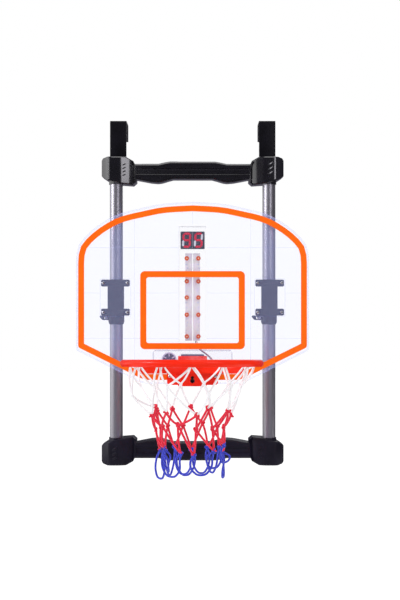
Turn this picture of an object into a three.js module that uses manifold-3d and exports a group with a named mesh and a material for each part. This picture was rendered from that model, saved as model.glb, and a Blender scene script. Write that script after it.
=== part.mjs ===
// Over-the-door basketball hoop with an electronic scoreboard.
//
// Two steel hooks hang a frame of two tubes and two moulded cross bars on the top of a door.
// The clear backboard slides on the tubes in two brackets, and a clamp collar under each
// bracket holds its height. The scoreboard is behind the board and the rim is in front of it.
//
// Millimetres. +X is the viewer's right, +Y points into the door and +Z is up. The origin is
// on the door's face, at the centre of the pad behind the top bar.

import * as THREE from "three";
import { mergeVertices } from "three/addons/utils/BufferGeometryUtils.js";
import Module from "manifold-3d";

const wasm = await Module();
wasm.setup();

// Fits
const seatGap = 0.3;
const runningClearance = 0.4;
const overrun = 2;
const weldDistance = 1e-4;

// Facets
const tubeSides = 20;
const smallSides = 8;
const ringSides = 36;
const arcSteps = 2;
const bodySides = 16;
const nutSides = 6;
const cordSides = 4;
const quarterTurn = 90;

// Backboard
const boardWidth = 500;
const boardHeight = 391;
const boardBottom = -458.5;
const boardTop = boardBottom + boardHeight;
const boardFront = 58;
const boardThickness = 3;
const boardLipDepth = 8;
const boardLipWall = 2.5;
const boardRibDepth = 3;
const boardRibWall = 1.2;
const boardArcSteps = 16;
const stripeWidth = 12.6;
const stripeThickness = 0.5;
const stripeSideMargin = 4.6;
const stripeTopMargin = 7.4;
const stripeBottomMargin = 9;
const squareWidthShare = 0.449;
const squareHeightShare = 0.4286;
const squareTopShare = 0.6202;
const squareStripe = 13.1;
const squareCorner = 9.7;
const squareArcSteps = 4;

// Frame
const poleFromBoardEdge = 84;
const poleSpacing = boardWidth - 2 * poleFromBoardEdge;
const poleFromDoor = 30;
const poleDiameter = 28;
const poleWall = 1.2;
const poleInset = 18;
const barSpacing = 603.5;

// Moulded cross bar, the same moulding above and below
const barOverhang = 32;
const barWidth = poleSpacing + 2 * barOverhang;
const barPadThickness = 3;
const barPadWidth = 180;
const barPadHeight = 18;
const barCoverThickness = 2.4;
const barCoverEdge = 7;
const barCoverLedge = 3;
const barWall = 3;
const blockWidth = 75;
const blockDepth = 46;
const blockRise = 32;
const blockDrop = 28.5;
const blockOuterFacet = 16;
const blockInnerFacet = 9;
const blockFacetDepth = 13;
const blockEdgeRadius = 2.5;
const spanDepth = 38;
const spanRise = 17.5;
const spanDrop = 19;
const crownRise = 22.5;
const crownDrop = 15.4;
const lobeDrop = 23.4;
const spanEdgeRadius = 4;
const grooveWidth = 11;
const grooveDepth = 3;
const grooveSlope = 2;
const socketWall = 2;
const socketReach = 27;

// Door hooks
const hookInset = 2;
const hookSpacing = poleSpacing - 2 * hookInset;
const hookWidth = 36;
const hookThickness = 2.5;
const hookRise = 117;
const hookFoot = 18;
const hookRearLeg = 38;
const hookBendRadius = 6;
const hookLinerThickness = 2;
const doorThickness = 45;

// Board brackets on the poles
const bracketCentreShare = 0.475;
const bracketCentre = boardBottom + bracketCentreShare * boardHeight;
const bracketHeight = 77.5;
const bracketWidth = 61.5;
const flangeHeight = 15;
const flangeThickness = 4;
const flangeCorner = 3;
const bracketSleeveWall = 2.4;
const bracketScrewSpanX = 51.5;
const bracketScrewSpanZ = 63.2;
const bracketFrameMargin = 1.5;

// Screws of the brackets
const screwHeadDiameter = 6.4;
const screwHeadHeight = 1.8;
const screwShankDiameter = 3;
const screwTip = 1.2;

// Clamp collars with a cam lever
const collarHeight = 19;
const collarWall = 2.9;
const collarDiameter = poleDiameter + 2 * (runningClearance + collarWall);
const collarTaperHeight = 5;
const collarTaper = 2.2;
const collarSplit = 2;
const lugReach = 8;
const lugHeight = 10;
const lugThickness = 4;
const clampBoltDiameter = 3;
const clampNutDiameter = 7;
const clampNutHeight = 2.6;
const camRadius = 4;
const camPinDiameter = 2.6;
const leverHandleReach = 14;
const leverThickness = 3.4;
const leverForkGap = 4.2;

// Score housing behind the board
const scoreWidth = 60;
const scoreTopMargin = 51.5;
const scoreTop = boardTop - scoreTopMargin;
const scoreFootRise = 72.3;
const scoreBottom = boardBottom + scoreFootRise;
const scoreDepth = 14.5;
const scoreWall = 1.6;
const scoreCorner = 3;
const displayWidth = 52;
const displayHeight = 37.4;
const displayMargin = 11.6;
const displayTop = scoreTop - displayMargin;
const lampBoardWidth = 14.8;
const lampBoardDrop = 46.4;
const lampBoardTop = displayTop - lampBoardDrop;
const lampBoardFoot = 20.2;
const lampBoardBottom = scoreBottom + lampBoardFoot;
const lampBoardHeight = lampBoardTop - lampBoardBottom;
const lampBoardThickness = 1.6;
const lampBoardGap = 2.2;
const lampDiameter = 9.6;
const lampHeight = 5;
const lampInset = 3.3;
const lampCupDiameter = 5;
const lampCupDepth = 1;
const lampLineShares = [0.058, 0.321, 0.506, 0.703, 0.951];

// Electronics case behind the board
const caseWidth = 172;
const caseTop = scoreBottom - seatGap;
const caseFootMargin = 10;
const caseBottom = boardBottom + caseFootMargin;
const caseHeight = caseTop - caseBottom;
const caseDepth = 28;
const caseWall = 1.6;
const caseCorner = 6;
const wireGateWidth = 46;
const wireGateHeight = 8;
const batteryDiameter = 14.5;
const batteryLength = 50.5;
const batteryNubDiameter = 5.5;
const batteryNubHeight = 1.2;
const batteryPitch = 14.9;
const batteryCount = 3;
const batteryWall = 1.5;
const batteryRowCentre = (caseTop + caseBottom) / 2;
const batteryDoorMargin = 1.2;
const batteryDoorGripWidth = 16;
const batteryDoorGripHeight = 3;
const batteryDoorGripReach = 1.5;
const batteryCellHalf = batteryLength / 2 + batteryNubHeight + seatGap;
const batteryBayHalf = batteryCellHalf + batteryWall;
const speakerDiameter = 32;
const speakerMargin = 6.4;
const speakerX = -(batteryBayHalf + speakerMargin + speakerDiameter / 2);
const speakerDrop = 20.3;
const speakerZ = caseTop - speakerDrop;
const speakerRimWidth = 2.6;
const speakerRimDepth = 4;
const speakerSpokeWidth = 2.4;
const speakerSpokeDepth = 1.6;
const speakerSpokes = 6;
const speakerHubDiameter = 16;
const speakerMagnetDiameter = 18;
const speakerFrontGap = 3;
const mainBoardMargin = 5;
const mainBoardWidth = caseWidth / 2 - caseWall - batteryBayHalf - 2 * mainBoardMargin;
const mainBoardHeight = 30;
const mainBoardThickness = 1.6;
const mainBoardX = batteryBayHalf + mainBoardMargin + mainBoardWidth / 2;
const mainBoardDrop = 37.5;
const mainBoardZ = caseTop - mainBoardDrop;
const chipWidth = 12;
const chipHeight = 12;
const chipThickness = 1.8;
const switchKnobWidth = 5;
const switchKnobDepth = 4;
const switchKnobReach = 3;
const switchBodyHeight = 5;
const switchTravel = 3;
const switchX = -20;
const switchFlangeWidth = 8;
const wireDiameter = 1.6;
const wireSides = 6;
const wireSteps = 10;
const wireRoute = [
  [9, -43, -366.6], [11, -45, -374], [19, -47, -386], [30, -46, -394], [40, -41, -403], [46, -31.2, -412],
];
const wirePitch = 3;

// Rim
const rimRise = 55.7;
const rimZ = boardBottom + rimRise;
const rimTilt = 3.7;
const rimInnerDiameter = 250;
const rimBand = 16.5;
const rimOuterDiameter = rimInnerDiameter + 2 * rimBand;
const rimHeight = 14;
const rimWall = 2.6;
const rimEdge = 1.5;
const rimShoulder = 6.3;
const rimBulge = 1.6;
const rimSkirt = 2.8;
const rimRearDrop = 22;
const rimRearStart = 62;
const rimNeckReach = 35;
const rimFromBoard = rimInnerDiameter / 2 + rimNeckReach;
const rimPlateThickness = 4;
const rimPlateWidth = 109;
const rimPlateFoot = 1.5;
const rimPlateBottom = boardBottom - rimPlateFoot;
const rimPlateHeight = 43;
const rimPlateShoulder = rimPlateBottom + rimPlateHeight;
const rimTongueHeight = 19;
const rimPlateTop = rimPlateShoulder + rimTongueHeight;
const rimPlateCorner = 4;
const rimNeckWidth = 62;
const rimNeckDrop = 4;
const rimNeckBottom = rimPlateShoulder - rimNeckDrop;
const rimNeckSlopeReach = 16;
const rimNeckStep = 0.4;
const sensorBoxWidth = 76;
const sensorBoxFootWidth = 60;
const sensorBoxDrop = 10;
const sensorBoxTop = rimPlateShoulder - sensorBoxDrop;
const sensorBoxHeight = 34;
const sensorBoxBottom = sensorBoxTop - sensorBoxHeight;
const sensorBoxReach = 27;
const sensorBoxEdge = 3;
const sensorBoxWall = 2.4;
const windowUpperDiameter = 6.8;
const windowLowerDiameter = 9.4;
const windowDrop = 15.5;
const windowUpperZ = sensorBoxTop - windowDrop;
const windowPitch = 7;
const windowLowerZ = windowUpperZ - windowPitch;
const pilotHoleDiameter = 3.2;
const pilotHoleSpanX = 43;
const pilotHoleSpanZ = 11;
const pilotHoleDrop = 17.6;
const pilotHoleCentre = sensorBoxTop - pilotHoleDrop;
const rimBoltInset = 5.7;
const rimBoltSpan = rimPlateWidth - 2 * rimBoltInset;
const rimBoltDrop = 23.5;
const rimBoltZ = rimPlateShoulder - rimBoltDrop;
const rimBoltDiameter = 4;
const rimBoltHeadDiameter = 7.4;
const rimBoltHeadHeight = 2.4;
const rimNutDiameter = 8;
const rimNutHeight = 3.2;
const sensorBoardWidth = 30;
const sensorBoardHeight = 20;

// Net
const netColumns = 12;
const netPegDiameter = 3.6;
const netPegReach = 7;
const netPegTip = 4;
const netPegDrop = 3;
const netCordDiameter = 3.6;
const netKnotDiameter = 7;
const netTailDiameter = 5;
const netKnotSides = 5;
const netKnotRings = 2;
const netRowShares = [0.976, 0.824, 0.64, 0.552, 0.512, 0.488];
const netRowDrops = [1, 44, 94, 126, 173, 224];

// Colours of the finishes
const finish = {
  moulding: { color: 0x17161c, roughness: 0.42, metalness: 0 },
  cover: { color: 0x1c1b22, roughness: 0.55, metalness: 0 },
  strap: { color: 0x121116, roughness: 0.6, metalness: 0.2 },
  foam: { color: 0x24242a, roughness: 0.95, metalness: 0 },
  tube: { color: 0xb9b9c2, roughness: 0.25, metalness: 1 },
  clear: { color: 0xe9eaf4, roughness: 0.08, metalness: 0, transparent: true, opacity: 0.35 },
  orange: { color: 0xf56a14, roughness: 0.4, metalness: 0 },
  bracket: { color: 0x22212b, roughness: 0.5, metalness: 0 },
  zinc: { color: 0xc9c9cf, roughness: 0.3, metalness: 1 },
  display: { color: 0x2a1c22, roughness: 0.3, metalness: 0 },
  lampBoard: { color: 0xbfc0c8, roughness: 0.6, metalness: 0 },
  mainBoard: { color: 0x2f6b4a, roughness: 0.6, metalness: 0 },
  battery: { color: 0x2b3340, roughness: 0.35, metalness: 0.4 },
  speaker: { color: 0x3a3942, roughness: 0.5, metalness: 0.3 },
  rim: { color: 0xe8350d, roughness: 0.35, metalness: 0 },
  window: { color: 0x0b080a, roughness: 0.1, metalness: 0 },
  wireRed: { color: 0xb8222c, roughness: 0.5, metalness: 0 },
  wireBlack: { color: 0x151418, roughness: 0.5, metalness: 0 },
  netWhite: { color: 0xf2f0f5, roughness: 0.8, metalness: 0 },
  netRed: { color: 0xd81f3c, roughness: 0.8, metalness: 0 },
  netBlue: { color: 0x2f3fb4, roughness: 0.8, metalness: 0 },
};

// Directions for sections drawn in a plane and pushed out of it
const axisX = new THREE.Vector3(1, 0, 0);
const axisY = new THREE.Vector3(0, 1, 0);
const axisZ = new THREE.Vector3(0, 0, 1);
const upward = new THREE.Matrix4();
const sideways = new THREE.Matrix4().makeBasis(axisY, axisZ, axisX);
const forward = new THREE.Matrix4().makeBasis(axisX, axisZ, axisY.clone().negate());

// Solids from geometries, and back

function solidOf(geometry) {
  const bare = geometry.index ? geometry.toNonIndexed() : geometry.clone();
  bare.deleteAttribute("normal");
  bare.deleteAttribute("uv");
  const merged = mergeVertices(bare, weldDistance);
  const corners = merged.index.array;
  const kept = [];
  for (let i = 0; i < corners.length; i += 3) {
    const [a, b, c] = [corners[i], corners[i + 1], corners[i + 2]];
    if (a !== b && b !== c && c !== a) kept.push(a, b, c);
  }
  return new wasm.Manifold(new wasm.Mesh({
    numProp: 3,
    vertProperties: merged.attributes.position.array,
    triVerts: new Uint32Array(kept),
  }));
}

function geometryOf(solid) {
  const mesh = solid.getMesh();
  const geometry = new THREE.BufferGeometry();
  geometry.setAttribute("position", new THREE.BufferAttribute(mesh.vertProperties, 3));
  geometry.setIndex(new THREE.BufferAttribute(mesh.triVerts, 1));
  const flat = geometry.toNonIndexed();
  flat.computeVertexNormals();
  return flat;
}

function piece(name, solid, look) {
  const mesh = new THREE.Mesh(geometryOf(solid), new THREE.MeshStandardMaterial(look));
  mesh.name = name;
  return mesh;
}

function joined(solids) {
  return solids.reduce((whole, next) => whole.add(next));
}

// Simple bodies

function block(x, y, z) {
  const geometry = new THREE.BoxGeometry(x[1] - x[0], y[1] - y[0], z[1] - z[0]);
  geometry.translate((x[0] + x[1]) / 2, (y[0] + y[1]) / 2, (z[0] + z[1]) / 2);
  return solidOf(geometry);
}

function extruded(shape, length, direction, options = {}) {
  const { start = 0, edge = 0, edgeSteps = 2, curveSteps = arcSteps } = options;
  const geometry = new THREE.ExtrudeGeometry(shape, {
    depth: length - 2 * edge,
    curveSegments: curveSteps,
    bevelEnabled: edge > 0,
    bevelSize: edge,
    bevelOffset: -edge,
    bevelThickness: edge,
    bevelSegments: edgeSteps,
  });
  geometry.translate(0, 0, start + edge);
  geometry.applyMatrix4(direction);
  return solidOf(geometry);
}

function revolved(profile, sides) {
  const points = profile.map(([r, z]) => new THREE.Vector2(r, z));
  if (THREE.ShapeUtils.area(points) < 0) points.reverse();
  const geometry = new THREE.LatheGeometry(points, sides);
  geometry.rotateX(Math.PI / 2);
  return solidOf(geometry);
}

function rod(radius, from, to, sides) {
  const start = new THREE.Vector3(...from);
  const end = new THREE.Vector3(...to);
  const run = end.clone().sub(start);
  const geometry = new THREE.CylinderGeometry(radius, radius, run.length(), sides);
  const turn = new THREE.Quaternion().setFromUnitVectors(axisY, run.clone().normalize());
  geometry.applyQuaternion(turn);
  geometry.translate(...start.add(end).multiplyScalar(0.5).toArray());
  return solidOf(geometry);
}

function outlineShape(points) {
  return new THREE.Shape(points.map(([x, y]) => new THREE.Vector2(x, y)));
}

function roundedRectangle(width, height, radius) {
  const shape = new THREE.Shape();
  const x = width / 2;
  const y = height / 2;
  shape.moveTo(-x + radius, -y);
  shape.lineTo(x - radius, -y);
  shape.absarc(x - radius, -y + radius, radius, -Math.PI / 2, 0);
  shape.lineTo(x, y - radius);
  shape.absarc(x - radius, y - radius, radius, 0, Math.PI / 2);
  shape.lineTo(-x + radius, y);
  shape.absarc(-x + radius, y - radius, radius, Math.PI / 2, Math.PI);
  shape.lineTo(-x, -y + radius);
  shape.absarc(-x + radius, -y + radius, radius, Math.PI, Math.PI * 1.5);
  return shape;
}

function insetOutline(points, distance) {
  const count = points.length;
  return points.map((point, i) => {
    const before = points[(i + count - 1) % count];
    const after = points[(i + 1) % count];
    const inward = (a, b) => {
      const run = Math.hypot(b[0] - a[0], b[1] - a[1]);
      return [-(b[1] - a[1]) / run, (b[0] - a[0]) / run];
    };
    const first = inward(before, point);
    const second = inward(point, after);
    const spread = 1 + first[0] * second[0] + first[1] * second[1];
    return [0, 1].map((k) => point[k] + (distance * (first[k] + second[k])) / spread);
  });
}

function mirrored(half) {
  const other = half.map(([x, y]) => [-x, y]).reverse();
  return [...half, ...other.filter(([x]) => x !== 0)];
}

// Moulded cross bar

const barBack = barPadThickness + seatGap;
const barHalf = barWidth / 2;
const blockInner = barHalf - blockWidth;
const barCavityReach = blockRise + overrun;
const hookBack = barBack + barCoverThickness + seatGap;

// Corners of the end block seen from the front, as shares of its width from the inner side
// and of its rise above or drop below the bar's centre line.
const blockRiseShares = [[0.02, 0.46], [0.08, 0.76], [0.28, 1], [0.82, 1], [0.96, 0.93], [1, 0.78]];
const blockDropShares = [[1, 0.3], [0.95, 0.42], [0.82, 0.65], [0.4, 0.94], [0.08, 1], [-0.02, 0.77]];

function blockOutline() {
  const rise = blockRiseShares.map(([u, v]) => [blockInner + u * blockWidth, v * blockRise]);
  const drop = blockDropShares.map(([u, v]) => [blockInner + u * blockWidth, -v * blockDrop]);
  return outlineShape([...rise, ...drop]);
}

function blockSection() {
  const back = -barBack;
  const front = -barBack - blockDepth;
  const facet = front + blockFacetDepth;
  const inner = blockInner - blockEdgeRadius;
  return outlineShape([
    [inner, back], [barHalf, back], [barHalf, facet],
    [barHalf - blockOuterFacet, front], [inner + blockInnerFacet, front], [inner, facet],
  ]);
}

// Heights of the span's two edges along its half length, as shares of the way to the block.
const crownEdgeShares = [[0.37, 1], [0.46, 0.6], [0.56, 0]];
const lobeEdgeShares = [[0.32, 0], [0.4, 0.35], [0.5, 0.85], [0.57, 1], [0.68, 0.85], [0.92, 0.1]];

function spanOutline() {
  const reach = blockInner + blockInnerFacet;
  const top = crownEdgeShares.map(([u, v]) => [u * reach, spanRise + v * (crownRise - spanRise)]);
  const low = lobeEdgeShares.map(([u, v]) => [u * reach, -crownDrop - v * (lobeDrop - crownDrop)]);
  const half = [...low, [reach, -spanDrop], [reach, spanRise], ...top.reverse()];
  return outlineShape(mirrored(half));
}

function barCoverShape(grow) {
  const block = barHalf - 2 * barCoverEdge + grow;
  const shoulder = blockInner + barCoverEdge - grow;
  const blockTop = blockRise - barCoverEdge + grow;
  const blockLow = -socketWall - spanDrop + barCoverEdge - grow;
  const spanTop = spanRise - barCoverEdge + grow;
  const spanLow = -spanDrop + barCoverEdge - grow;
  return outlineShape(mirrored([
    [shoulder, spanLow], [shoulder, blockLow], [block, blockLow],
    [block, blockTop], [shoulder, blockTop], [shoulder, spanTop],
  ]));
}

function crossBar() {
  const endBlock = extruded(blockOutline(), blockDepth, forward, { start: barBack, edge: blockEdgeRadius })
    .intersect(extruded(blockSection(), blockRise + blockDrop, upward, { start: -blockDrop }));
  const spanBody = extruded(spanOutline(), spanDepth, forward, { start: barBack, edge: spanEdgeRadius });
  const spanFront = -barBack - spanDepth;
  const groove = extruded(outlineShape([
    [spanFront - overrun, -grooveWidth / 2 - grooveSlope], [spanFront + grooveDepth, -grooveWidth / 2],
    [spanFront + grooveDepth, grooveWidth / 2], [spanFront - overrun, grooveWidth / 2 + grooveSlope],
  ]), 2 * blockInner, sideways, { start: -blockInner });
  const poleRadius = poleDiameter / 2;
  const collar = rod(poleRadius + socketWall, [0, 0, -socketReach], [0, 0, 0], tubeSides);
  const socket = rod(poleRadius + seatGap, [0, 0, -socketReach - overrun],
    [0, 0, poleInset + seatGap], tubeSides);
  const at = [poleSpacing / 2, -poleFromDoor, 0];
  let bar = endBlock.add(endBlock.mirror([1, 0, 0])).add(spanBody).subtract(groove);
  for (const side of [-1, 1]) {
    const place = [side * at[0], at[1], at[2]];
    bar = bar.add(collar.translate(place)).subtract(socket.translate(place));
  }
  const recess = extruded(barCoverShape(seatGap), barCoverThickness + seatGap + overrun, forward,
    { start: barBack - overrun });
  return bar.subtract(recess).subtract(barCavity());
}

// The moulding is a shell, open to the back under the cover. Bosses in it hold the poles and the hooks.
function barCavity() {
  const depth = spanDepth - grooveDepth - barWall;
  let cavity = extruded(barCoverShape(-barCoverLedge), depth, forward, { start: barBack });
  const boss = rod(poleDiameter / 2 + seatGap + barWall, [0, 0, -barCavityReach], [0, 0, barCavityReach],
    bodySides);
  const pocket = hookWidth / 2 + seatGap + barWall;
  for (const side of [-1, 1]) {
    const hookX = (side * hookSpacing) / 2;
    const hookBoss = block([hookX - pocket, hookX + pocket],
      [-hookBack - hookThickness - seatGap - barWall, -barBack + overrun], [-barCavityReach, barCavityReach]);
    cavity = cavity.subtract(boss.translate([(side * poleSpacing) / 2, -poleFromDoor, 0])).subtract(hookBoss);
  }
  return cavity;
}

function hookSlot(side) {
  const middle = (side * hookSpacing) / 2;
  const half = hookWidth / 2 + seatGap;
  const foot = -hookFoot - seatGap;
  return block([middle - half, middle + half], [-hookBack - hookThickness - seatGap, -hookBack + seatGap],
    [foot, blockRise + overrun]);
}

function addCrossBar(parent, name, height, turned) {
  const group = new THREE.Group();
  group.position.z = height;
  group.rotation.y = turned ? Math.PI : 0;
  const body = crossBar().subtract(hookSlot(-1)).subtract(hookSlot(1));
  const cover = extruded(barCoverShape(0), barCoverThickness, forward, { start: barBack });
  const padShape = roundedRectangle(barPadWidth, barPadHeight, barPadThickness);
  const pad = extruded(padShape, barPadThickness, forward);
  group.add(piece(name, body, finish.moulding));
  group.add(piece(`${name}_cover`, cover, finish.cover));
  group.add(piece(`${name}_pad`, pad, finish.foam));
  parent.add(group);
}

// Door hooks: a bent steel strap with a soft liner inside it

function hookProfile(layer) {
  const front = -hookBack - hookThickness + layer.inset;
  const rear = doorThickness + hookLinerThickness + seatGap + hookThickness - layer.inset;
  const top = hookRise - layer.inset;
  const radius = hookBendRadius - layer.inset;
  const t = layer.thickness;
  const shape = new THREE.Shape();
  shape.moveTo(front, layer.frontFoot);
  shape.lineTo(front, top - radius);
  shape.absarc(front + radius, top - radius, radius, Math.PI, Math.PI / 2, true);
  shape.lineTo(rear - radius, top);
  shape.absarc(rear - radius, top - radius, radius, Math.PI / 2, 0, true);
  shape.lineTo(rear, layer.rearFoot);
  shape.lineTo(rear - t, layer.rearFoot);
  shape.lineTo(rear - t, top - radius);
  shape.absarc(rear - radius, top - radius, radius - t, 0, Math.PI / 2, false);
  shape.lineTo(front + radius, top - t);
  shape.absarc(front + radius, top - radius, radius - t, Math.PI / 2, Math.PI, false);
  shape.lineTo(front + t, layer.frontFoot);
  return shape;
}

function addHooks(parent) {
  const rearFoot = hookRise - hookRearLeg;
  const strapLayer = { inset: 0, thickness: hookThickness, frontFoot: -hookFoot, rearFoot };
  const linerLayer = {
    inset: hookThickness + seatGap,
    thickness: hookLinerThickness,
    frontFoot: blockRise + seatGap,
    rearFoot,
  };
  for (const [name, side] of [["left", -1], ["right", 1]]) {
    const start = (side * hookSpacing) / 2 - hookWidth / 2;
    const strap = extruded(hookProfile(strapLayer), hookWidth, sideways, { start });
    const liner = extruded(hookProfile(linerLayer), hookWidth, sideways, { start });
    parent.add(piece(`hook_${name}`, strap, finish.strap));
    parent.add(piece(`hook_liner_${name}`, liner, finish.foam));
  }
}

// Poles

function addPoles(parent) {
  const outer = poleDiameter / 2;
  const inner = outer - poleWall;
  const top = poleInset;
  const foot = -barSpacing - poleInset;
  const tube = revolved([[inner, foot], [outer, foot], [outer, top], [inner, top], [inner, foot]], tubeSides);
  for (const [name, side] of [["left", -1], ["right", 1]]) {
    const mesh = piece(`pole_${name}`, tube, finish.tube);
    mesh.position.set((side * poleSpacing) / 2, -poleFromDoor, 0);
    parent.add(mesh);
  }
}

// Backboard

// Right half of the board's edge, as shares of its half width and of its height.
const boardCrownShares = [
  [0, 1], [0.25, 0.99], [0.43, 0.967], [0.6, 0.941], [0.714, 0.91],
  [0.84, 0.857], [0.94, 0.797], [0.988, 0.745], [1, 0.668],
];
const boardFootShares = [[0.4, 0], [0.46, 0.012], [0.98, 0.18], [0.996, 0.187], [1, 0.197]];

function boardOutline(width, top, bottom) {
  const point = ([u, v]) => [(u * width) / 2, bottom + v * (top - bottom)];
  const crown = new THREE.SplineCurve(boardCrownShares.map((share) => new THREE.Vector2(...point(share))));
  const arc = crown.getSpacedPoints(boardArcSteps).reverse().map(({ x, y }) => [x, y]);
  const foot = boardFootShares.map(point);
  return mirrored([...foot, ...arc]);
}

const boardBack = boardFront - boardThickness;
const screwHoleRadius = screwShankDiameter / 2 + seatGap;
const rimBoltHoleRadius = rimBoltDiameter / 2 + seatGap;
const bracketScrewPlaces = [];
for (const side of [-1, 1]) {
  for (const [column, row] of [[-1, 1], [1, 1], [-1, -1], [1, -1]]) {
    bracketScrewPlaces.push([
      (side * poleSpacing) / 2 + (column * bracketScrewSpanX) / 2,
      bracketCentre + (row * bracketScrewSpanZ) / 2,
    ]);
  }
}

function boardRibs() {
  const ribs = [];
  const back = [-boardBack - overrun / 2, -boardBack + boardRibDepth];
  for (const quarter of [1, 2, 3]) {
    const x = (quarter / 4 - 1 / 2) * boardWidth;
    const z = boardBottom + (quarter / 4) * boardHeight;
    ribs.push(block([x - boardRibWall / 2, x + boardRibWall / 2], back, [boardBottom, boardTop]));
    ribs.push(block([-boardWidth / 2, boardWidth / 2], back, [z - boardRibWall / 2, z + boardRibWall / 2]));
  }
  const frameWidth = bracketWidth + 2 * bracketFrameMargin;
  const frameHeight = bracketHeight + 2 * bracketFrameMargin;
  const margin = boardRibWall + seatGap;
  const clearings = [
    block([-scoreWidth / 2 - margin, scoreWidth / 2 + margin], [back[0] - overrun, back[1] + overrun],
      [scoreBottom, scoreTop + margin]),
    block([-caseWidth / 2 - margin, caseWidth / 2 + margin], [back[0] - overrun, back[1] + overrun],
      [boardBottom, scoreBottom + margin]),
  ];
  let grid = joined(ribs);
  for (const clearing of clearings) grid = grid.subtract(clearing);
  for (const side of [-1, 1]) {
    const frame = extruded(
      roundedRectangle(frameWidth + 2 * boardRibWall, frameHeight + 2 * boardRibWall, flangeCorner),
      boardRibDepth + overrun / 2, forward, { start: boardBack - boardRibDepth });
    const opening = extruded(roundedRectangle(frameWidth, frameHeight, flangeCorner),
      boardRibDepth + 2 * overrun, forward, { start: boardBack - boardRibDepth - overrun });
    const place = [(side * poleSpacing) / 2, 0, bracketCentre];
    grid = grid.add(frame.translate(place)).subtract(opening.translate(place));
  }
  return grid;
}

function backboardSolid() {
  const edge = boardOutline(boardWidth, boardTop, boardBottom);
  const sheet = extruded(outlineShape(edge), boardThickness, forward, { start: boardBack });
  const lipStart = boardFront - boardLipDepth;
  const lip = extruded(outlineShape(edge), boardLipDepth - boardThickness / 2, forward, { start: lipStart })
    .subtract(extruded(outlineShape(insetOutline(edge, boardLipWall)), boardLipDepth + overrun, forward,
      { start: lipStart - overrun }));
  const withinEdge = extruded(outlineShape(insetOutline(edge, boardLipWall / 2)), boardLipDepth, forward,
    { start: lipStart });
  const board = sheet.add(lip).add(boardRibs().intersect(withinEdge));
  return board.subtract(boardHoles());
}

function boardHoles() {
  const through = [-boardFront - overrun, -boardBack + overrun];
  const hole = (radius, x, z) => rod(radius, [x, through[0], z], [x, through[1], z], smallSides);
  const holes = bracketScrewPlaces.map(([x, z]) => hole(screwHoleRadius, x, z));
  for (const side of [-1, 1]) holes.push(hole(rimBoltHoleRadius, (side * rimBoltSpan) / 2, rimBoltZ));
  return joined(holes);
}

function addBackboard(parent) {
  parent.add(piece("backboard", backboardSolid(), finish.clear));
  const printStart = boardFront + seatGap;
  const outer = boardOutline(boardWidth - 2 * stripeSideMargin, boardTop - stripeTopMargin,
    boardBottom + stripeBottomMargin);
  const stripe = outlineShape(outer);
  stripe.holes.push(outlineShape(insetOutline(outer, stripeWidth)));
  const print = extruded(stripe, stripeThickness, forward, { start: printStart }).subtract(boardHoles());
  parent.add(piece("border_stripe", print, finish.orange));
  const squareWidth = squareWidthShare * boardWidth;
  const squareHeight = squareHeightShare * boardHeight;
  const squareTop = boardBottom + squareTopShare * boardHeight;
  const square = roundedRectangle(squareWidth, squareHeight, squareCorner);
  square.holes.push(roundedRectangle(squareWidth - 2 * squareStripe, squareHeight - 2 * squareStripe,
    squareCorner / 2));
  const target = extruded(square, stripeThickness, forward,
    { start: printStart, curveSteps: squareArcSteps });
  parent.add(piece("target_square", target.translate([0, 0, squareTop - squareHeight / 2]), finish.orange));
}

// Brackets that carry the board on the poles

function bracketSolid() {
  const outer = poleDiameter / 2 + runningClearance + bracketSleeveWall;
  const boardFace = poleFromDoor - (boardBack - seatGap);
  const half = bracketHeight / 2;
  const sleeve = rod(outer, [0, 0, -half], [0, 0, half], tubeSides);
  const saddle = block([-outer, outer], [boardFace, 0], [-half, half]);
  let bracket = sleeve.add(saddle);
  for (const row of [-1, 1]) {
    const middle = row * (half - flangeHeight / 2);
    const flange = extruded(roundedRectangle(bracketWidth, flangeHeight, flangeCorner), flangeThickness,
      forward, { start: -boardFace - flangeThickness });
    bracket = bracket.add(flange.translate([0, 0, middle]));
    for (const column of [-1, 1]) {
      const x = (column * bracketScrewSpanX) / 2;
      const z = (row * bracketScrewSpanZ) / 2;
      bracket = bracket.subtract(rod(screwHoleRadius, [x, boardFace - overrun, z],
        [x, boardFace + flangeThickness + overrun, z], smallSides));
    }
  }
  return bracket.subtract(rod(poleDiameter / 2 + runningClearance, [0, 0, -half - overrun],
    [0, 0, half + overrun], tubeSides));
}

function bracketScrewSolid() {
  const head = boardFront + seatGap;
  const tip = boardBack - seatGap - flangeThickness - screwTip;
  const shank = screwShankDiameter / 2;
  const reach = screwHeadDiameter / 2;
  const profile = [
    [0, tip], [shank, tip], [shank, head], [reach, head],
    [reach, head + screwHeadHeight / 2], [reach / 2, head + screwHeadHeight], [0, head + screwHeadHeight],
  ];
  return revolved(profile, smallSides).rotate([quarterTurn, 0, 0]);
}

function addBrackets(parent) {
  const bracket = bracketSolid();
  for (const [name, side] of [["left", -1], ["right", 1]]) {
    const mesh = piece(`board_bracket_${name}`, bracket, finish.bracket);
    mesh.position.set((side * poleSpacing) / 2, -poleFromDoor, bracketCentre);
    parent.add(mesh);
  }
  const screw = bracketScrewSolid();
  bracketScrewPlaces.forEach(([x, z], i) => {
    const mesh = piece(`bracket_screw_${i + 1}`, screw, finish.zinc);
    mesh.position.set(x, 0, z);
    parent.add(mesh);
  });
}

// Clamp collar, its bolt and its cam lever, built about the pole's axis with the top at zero

const collarRadius = collarDiameter / 2;
const collarBore = poleDiameter / 2 + runningClearance;
const lugOuter = collarRadius + lugReach;
const lugFace = collarSplit / 2 + lugThickness;
const camX = -(collarRadius + lugReach / 2);
const camY = lugFace + seatGap + camRadius;
const boltZ = -lugHeight / 2;

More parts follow.
